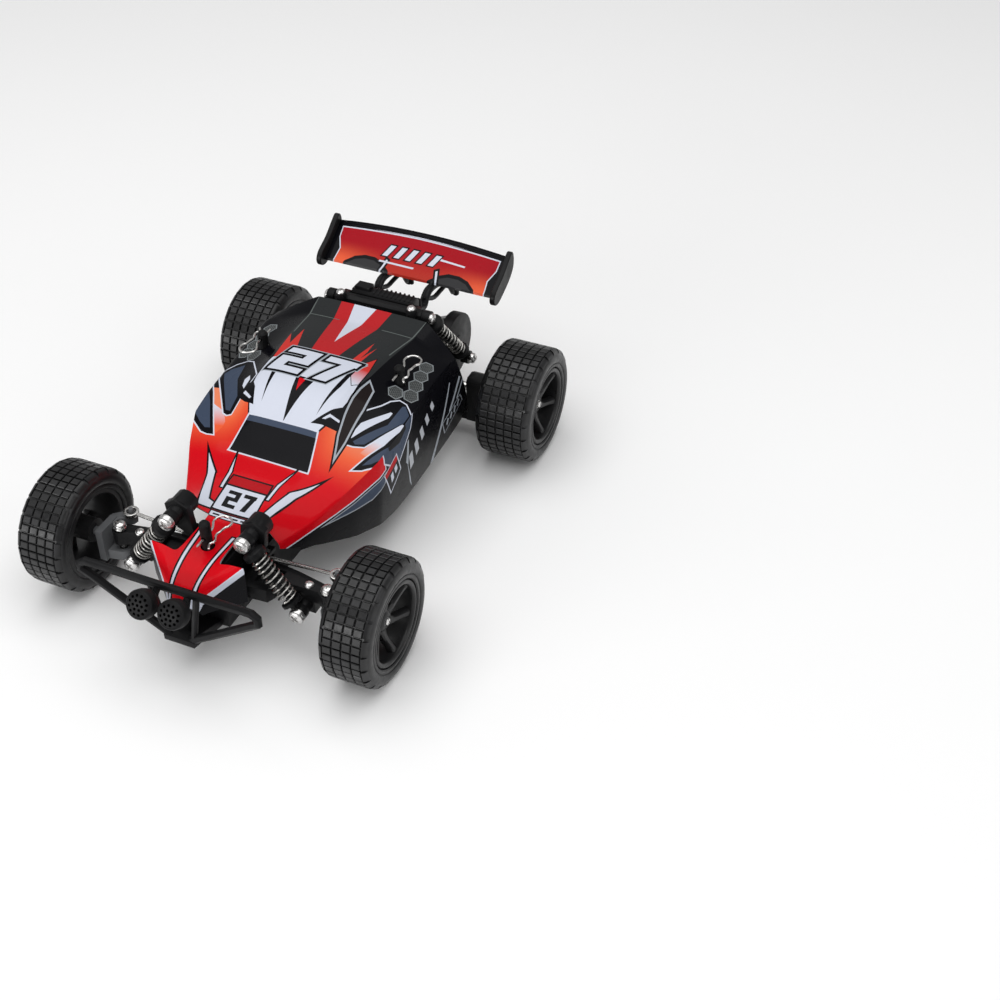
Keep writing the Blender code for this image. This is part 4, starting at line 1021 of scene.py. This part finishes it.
def lamps():
    """Round lamps whose domed faces are pierced with a ring pattern of holes."""
    for side, name in SIDES:
        back, front = Vector((side * 6.6, -34.9, 36.4)), Vector((side * 6.6, -41.6, 40.4))
        length = (front - back).length
        profile = [
            (2.8, 0), (4.4, 0.7), (5.3, 1.8), (5.65, 3.4), (5.65, length - 1.6), (5.45, length - 1),
            (5, length - 0.7), (4.8, length - 0.8), (4.1, length - 0.35), (2.4, length), (0.3, length + 0.1),
        ]
        made = add_piece(f"lamp_{name}", lathe(bmesh.new(), back, front, profile, 44), "lamp", smooth=32)
        rotation = frame_along(back, front)
        holes = bmesh.new()
        spots = [(0, 0)]
        spots += [(1.85, i * math.pi / 3) for i in range(6)]
        spots += [(3.65, i * math.pi / 6 + math.pi / 12) for i in range(12)]
        for radius, angle in spots:
            low = around(back, rotation, radius, angle, length - 1.6)
            high = around(back, rotation, radius, angle, length + 1)
            lathe(holes, low, high, [(0.6, 0), (0.6, 2.6)], 12)
        cut_away(made, [add_piece(f"lamp_holes_{name}", holes, "lamp")])
        made.data.set_sharp_from_angle(angle=math.radians(32))
        attach(made, "chassis", f"bumper_lamp_{name}")


# Wing


WING_HALF = 41.4
WING_ARCH = 2.6
WING_FRONT_Y = 164.4
WING_FRONT_Z = 62
WING_CHORD = 16.8
WING_CLIMB = 10.4


def wing_point(x, t, above=0):
    """The blade's upper surface at a share t of its chord, with the arch growing towards the rear edge."""
    arch = WING_ARCH * (1 - (x / WING_HALF) ** 2) * t**1.5
    return (x, WING_FRONT_Y + WING_CHORD * t, WING_FRONT_Z + above + WING_CLIMB * t**1.15 + arch)


def wing_blade():
    """A thin cambered blade whose rear edge arches towards mid-span, with fine ribs along that edge."""
    rings = []
    for i in range(41):
        x = WING_HALF * (i / 20 - 1)
        upper = [wing_point(x, t) for t in (0, 0.03, 0.1, 0.22, 0.36, 0.5, 0.64, 0.78, 0.9, 1)]
        under = [(x, WING_FRONT_Y - 0.4, WING_FRONT_Z - 1)]
        under += [(x, y + 0.5, z - 1.2) for x, y, z in upper[1:]]
        rings.append(upper + under[::-1])
    shape = bridge(bmesh.new(), rings)
    for t in (0.885, 0.93, 0.975):
        sweep(shape, [wing_point((WING_HALF - 0.6) * (i / 12 - 1), t, 0.1) for i in range(25)], 0.26, 6)
    return shape


def wing():
    add_piece("wing_blade", wing_blade(), "wing", "chassis", "rear_wing", smooth=40)
    outline = [
        (160.5, 62.4), (161.4, 59.6), (164.4, 58.3), (168.4, 59.2), (176.6, 62.8), (181.2, 66.6),
        (182.4, 70.4), (181.9, 74.4), (180.4, 75.8), (178.2, 75), (170.2, 69.3), (162.8, 65.8),
    ]
    rounded = smooth_loop(outline, 3)
    for side, name in SIDES:
        low, high = sorted((side * 41.2, side * 43.6))
        shape = prism(bmesh.new(), rounded, low, high, "X")
        plate = add_piece(f"wing_end_{name}", shape, "satin", "chassis", None, smooth=30)
        bevelled(plate, 0.45, 3, 40)


def wing_hoops():
    """The wing's mount: on each side a hoop of round bars with a brace, tied across the car."""
    shape = bmesh.new()
    hoop = [
        (149.6, 56.6), (155.6, 54.6), (158.4, 57.4), (161.6, 59.2), (166, 59), (172, 57.2),
        (179, 54.4), (185, 50.2), (188.2, 45.6), (189, 42),
    ]
    brace = [(157, 58.4), (162, 55), (167.6, 52.6), (174, 52.4), (181, 51.4), (186.4, 44)]
    struts = [
        ((168, 58), (171, 64.4), 1.4), ((178, 54.6), (179.4, 70.6), 1.4), ((151, 56.6), (150.6, 60.6), 1.6),
    ]
    for side in (1, -1):
        for path, x, radius in ((hoop, 12, 1.5), (hoop, 10.6, 1.1), (brace, 11.6, 1.1)):
            sweep(shape, smooth_path([(side * x, y, z) for y, z in path], 4), radius, 10)
        for low, high, radius in struts:
            sweep(shape, [(side * 11.8, *low), (side * 11.8, *high)], radius, 10)
    sweep(shape, [(-12, 150.5, 59), (12, 150.5, 59)], 1.8, 16)
    sweep(shape, [(-11.6, 187.2, 49.4), (11.6, 187.2, 49.4)], 1.5, 12)
    add_piece("wing_hoops", shape, "black", "chassis", "wing_mount", smooth=45)


def tower_ribs():
    """Stiffening ribs across the cover behind the rear shock bar."""
    shape = bmesh.new()
    for i in range(9):
        x = -4.6 + 2.1 * i
        sweep(shape, [(x, 141.2, 65.3), (x, 146.2, 65.3)], 0.5, 8)
    add_piece("tower_ribs", shape, "black", "chassis", None, smooth=45)


# Body shell

# From the nose backwards: y, then (x, z) for the centre, bay edge, hood, roof ridge, shoulder, shoulder
# edge, side and lower edge; a third value is a point's own y
SHELL_ROWS = [
    (-27, [(0, 30), (3, 30), (4.2, 30, -26.8), (5, 29.5, -26.5), (6, 28.8, -26), (6.8, 28, -25.6),
           (7.2, 26.8, -25), (7.5, 25.5, -24.5)]),
    (-24, [(0, 37), (3.2, 37), (4.6, 36.8, -23.9), (5.6, 36.2, -23.8), (6.8, 35, -23.6), (7.6, 33.5, -23.4),
           (8.1, 30, -23.2), (8.6, 26, -23)]),
    (-12.5, [(0, 40.6), (8.5, 41.4), (11, 42.2), (14, 43), (17.5, 43.4), (20, 43.2), (20.4, 35, -12.6),
             (20, 27, -12.8)]),
    (10, [(0, 41.8), (8.5, 42.2), (12, 43.2), (15.5, 44.4, 10.2), (18.4, 40.8), (21, 37.4), (21.4, 36.2),
          (21.4, 35)]),
    (24, [(0, 47), (8.5, 47), (12.5, 46.8), (17, 46.4), (23, 43), (28.2, 39), (28.8, 33), (28.6, 27.5)]),
    (41, [(0, 48.5), (8.5, 48.5), (13, 48.4), (17.2, 48.4), (27, 49), (36.5, 46.5), (37.3, 34), (36.8, 22)]),
    (54, [(0, 58.4), (8.5, 58.4), (12.5, 58.3), (15.3, 58), (28, 52.5), (41.5, 51.2), (42.2, 35),
          (40.5, 18.8)]),
    (64, [(0, 64.6), (8.5, 64.8), (13, 64.8), (17.8, 64), (30, 56), (42.3, 53), (43, 35), (40.5, 16.2)]),
    (75, [(0, 67), (9, 67), (14, 66.9), (19.2, 66.2), (31, 58.5), (42.4, 54.4), (43, 35), (40.2, 14.6)]),
    (100, [(0, 66.2), (10, 66.2), (16, 66), (22, 65.2), (32, 61), (42.4, 58), (43, 35), (40.2, 15.4)]),
    (120, [(0, 63.2), (11, 63.2), (18, 63.1), (24, 62.8), (33.5, 60, 118), (43, 58.4, 114), (43.4, 38, 118),
           (40.2, 16.6)]),
    (131, [(0, 65), (12, 65), (19, 64.9), (25.9, 64.6), (34.5, 61, 126.5), (43, 57.2, 121.5), (43, 38),
           (40.2, 18.4, 139.4)]),
]
NOSE_ROWS = 2
BAY_ROW = 2
BAY_EDGE_COLUMN = 1
RIDGE_COLUMN = 3
SHOULDER_EDGE_COLUMN = 5
COLUMN_CREASES = {3: 0.75, 5: 0.85, 1: 0.1}
ROW_CREASES = {2: 0.3, 3: 0.6, 5: 0.75, 6: 0.55, 10: 0.7}


def shell_grid():
    """The shell's outer skin as quads, with creases where the sheet is folded."""
    shape = bmesh.new()
    crease = shape.edges.layers.float.new("crease_edge")
    middle = len(SHELL_ROWS[0][1]) - 1
    grid = []
    for row_y, points in SHELL_ROWS:
        row = [(x, own[0] if own else row_y, z) for x, z, *own in points]
        whole = [(-x, y, z) for x, y, z in reversed(row[1:])] + row
        grid.append([shape.verts.new(point) for point in whole])
    for r in range(len(grid) - 1):
        for c in range(2 * middle):
            outside_bay = c < middle - BAY_EDGE_COLUMN or c >= middle + BAY_EDGE_COLUMN
            if r == BAY_ROW and outside_bay:
                continue
            face = shape.faces.new((grid[r][c], grid[r][c + 1], grid[r + 1][c + 1], grid[r + 1][c]))
            column = c - middle if c >= middle else middle - 1 - c
            on_side = column >= SHOULDER_EDGE_COLUMN
            face.material_index = 2 if r < NOSE_ROWS and column >= RIDGE_COLUMN else 1 if on_side else 0
    place = {vertex: (r, c) for r, row in enumerate(grid) for c, vertex in enumerate(row)}
    for edge in shape.edges:
        (r, c), (_, other_c) = sorted(place[vertex] for vertex in edge.verts)
        along = c == other_c
        edge[crease] = COLUMN_CREASES.get(abs(c - middle), 0) if along else ROW_CREASES.get(r, 0)
    return shape


def body_shell():
    kinds = ["top", "side", "nose", *["edge"] * 3, *["inside"] * 3]
    made = add_piece("shell_skin", shell_grid(), kinds, smooth=180)
    if made.data.polygons[0].normal.z < 0:
        made.data.flip_normals()
    rounding = made.modifiers.new("rounding", "SUBSURF")
    rounding.levels = 3
    rounding.render_levels = 3
    rounding.boundary_smooth = "PRESERVE_CORNERS"
    skin = made.modifiers.new("skin", "SOLIDIFY")
    skin.thickness = 0.75 * MM
    skin.offset = -1
    # The rim takes the pale edge material, a painted highlight of the clear sheet's edge.
    skin.material_offset_rim = 3
    skin.material_offset = 6
    cutters = []
    for name, x, y, head, _ in POSTS:
        hole = lathe(bmesh.new(), (x, y, head - 22), (x, y, head), [(2.75, 0), (2.75, 22)], 32)
        cutters.append(add_piece(f"post_hole_{name}", hole, "edge"))
    cut_away(made, cutters)
    made.data.set_sharp_from_angle(angle=math.radians(40))
    attach(made, "chassis", "body_shell")


# Setting and view


def stage():
    """A pale, plain floor."""
    shape = bmesh.new()
    corners = [(-2.6, -2), (2.6, -2), (2.6, 3.2), (-2.6, 3.2)]
    shape.faces.new([shape.verts.new((x, y, 0)) for x, y in corners])
    mesh = mesh_of("floor", shape)
    paper = Shader("floor_paper", (0.9, 0.9, 0.9), 0.8)
    paper.set(Base_Color=paper.mix(paper.noise(3), (0.955, 0.955, 0.955), (0.985, 0.985, 0.985)))
    mesh.materials.append(paper.material)
    link("floor", mesh)


def lamp_panel(name, place, size, power):
    """A square-cornered area lamp that faces the middle of the car."""
    data = bpy.data.lights.new(name, "AREA")
    data.shape = "RECTANGLE"
    data.size, data.size_y = size
    data.energy = power
    light = link(name, data)
    light.location = place
    light.rotation_euler = (Vector((0, 0, 0.03)) - Vector(place)).to_track_quat("-Z", "Y").to_euler()


def lights_and_world():
    world = bpy.data.worlds.new("studio")
    world.use_nodes = True
    background = world.node_tree.nodes["Background"]
    background.inputs["Color"].default_value = (1, 1, 1, 1)
    background.inputs["Strength"].default_value = 0.34
    bpy.context.scene.world = world
    lamp_panel("overhead", (0, -0.1, 1.2), (1.6, 1.6), 13.2)
    lamp_panel("front", (-0.5, -1.3, 0.30), (1.2, 0.30), 8)
    lamp_panel("right", (1.2, -0.1, 0.45), (0.4, 0.9), 2)
    view = bpy.context.scene.view_settings
    view.view_transform = "Standard"
    view.look = "None"


def camera():
    data = bpy.data.cameras.new("camera")
    data.lens = 54
    data.sensor_width = 36
    data.clip_start = 0.01
    data.clip_end = 20
    made = link("camera", data)
    made.location = (0.26469, -0.41639, 0.41148)
    made.rotation_euler = (math.radians(50.054), 0, math.radians(23.4346))
    bpy.context.scene.camera = made


dress_kept_nodes()
wheels()
screws()
springs()
clips()
lamps()
wing()
wing_hoops()
tower_ribs()
body_shell()
stage()
lights_and_world()
camera()
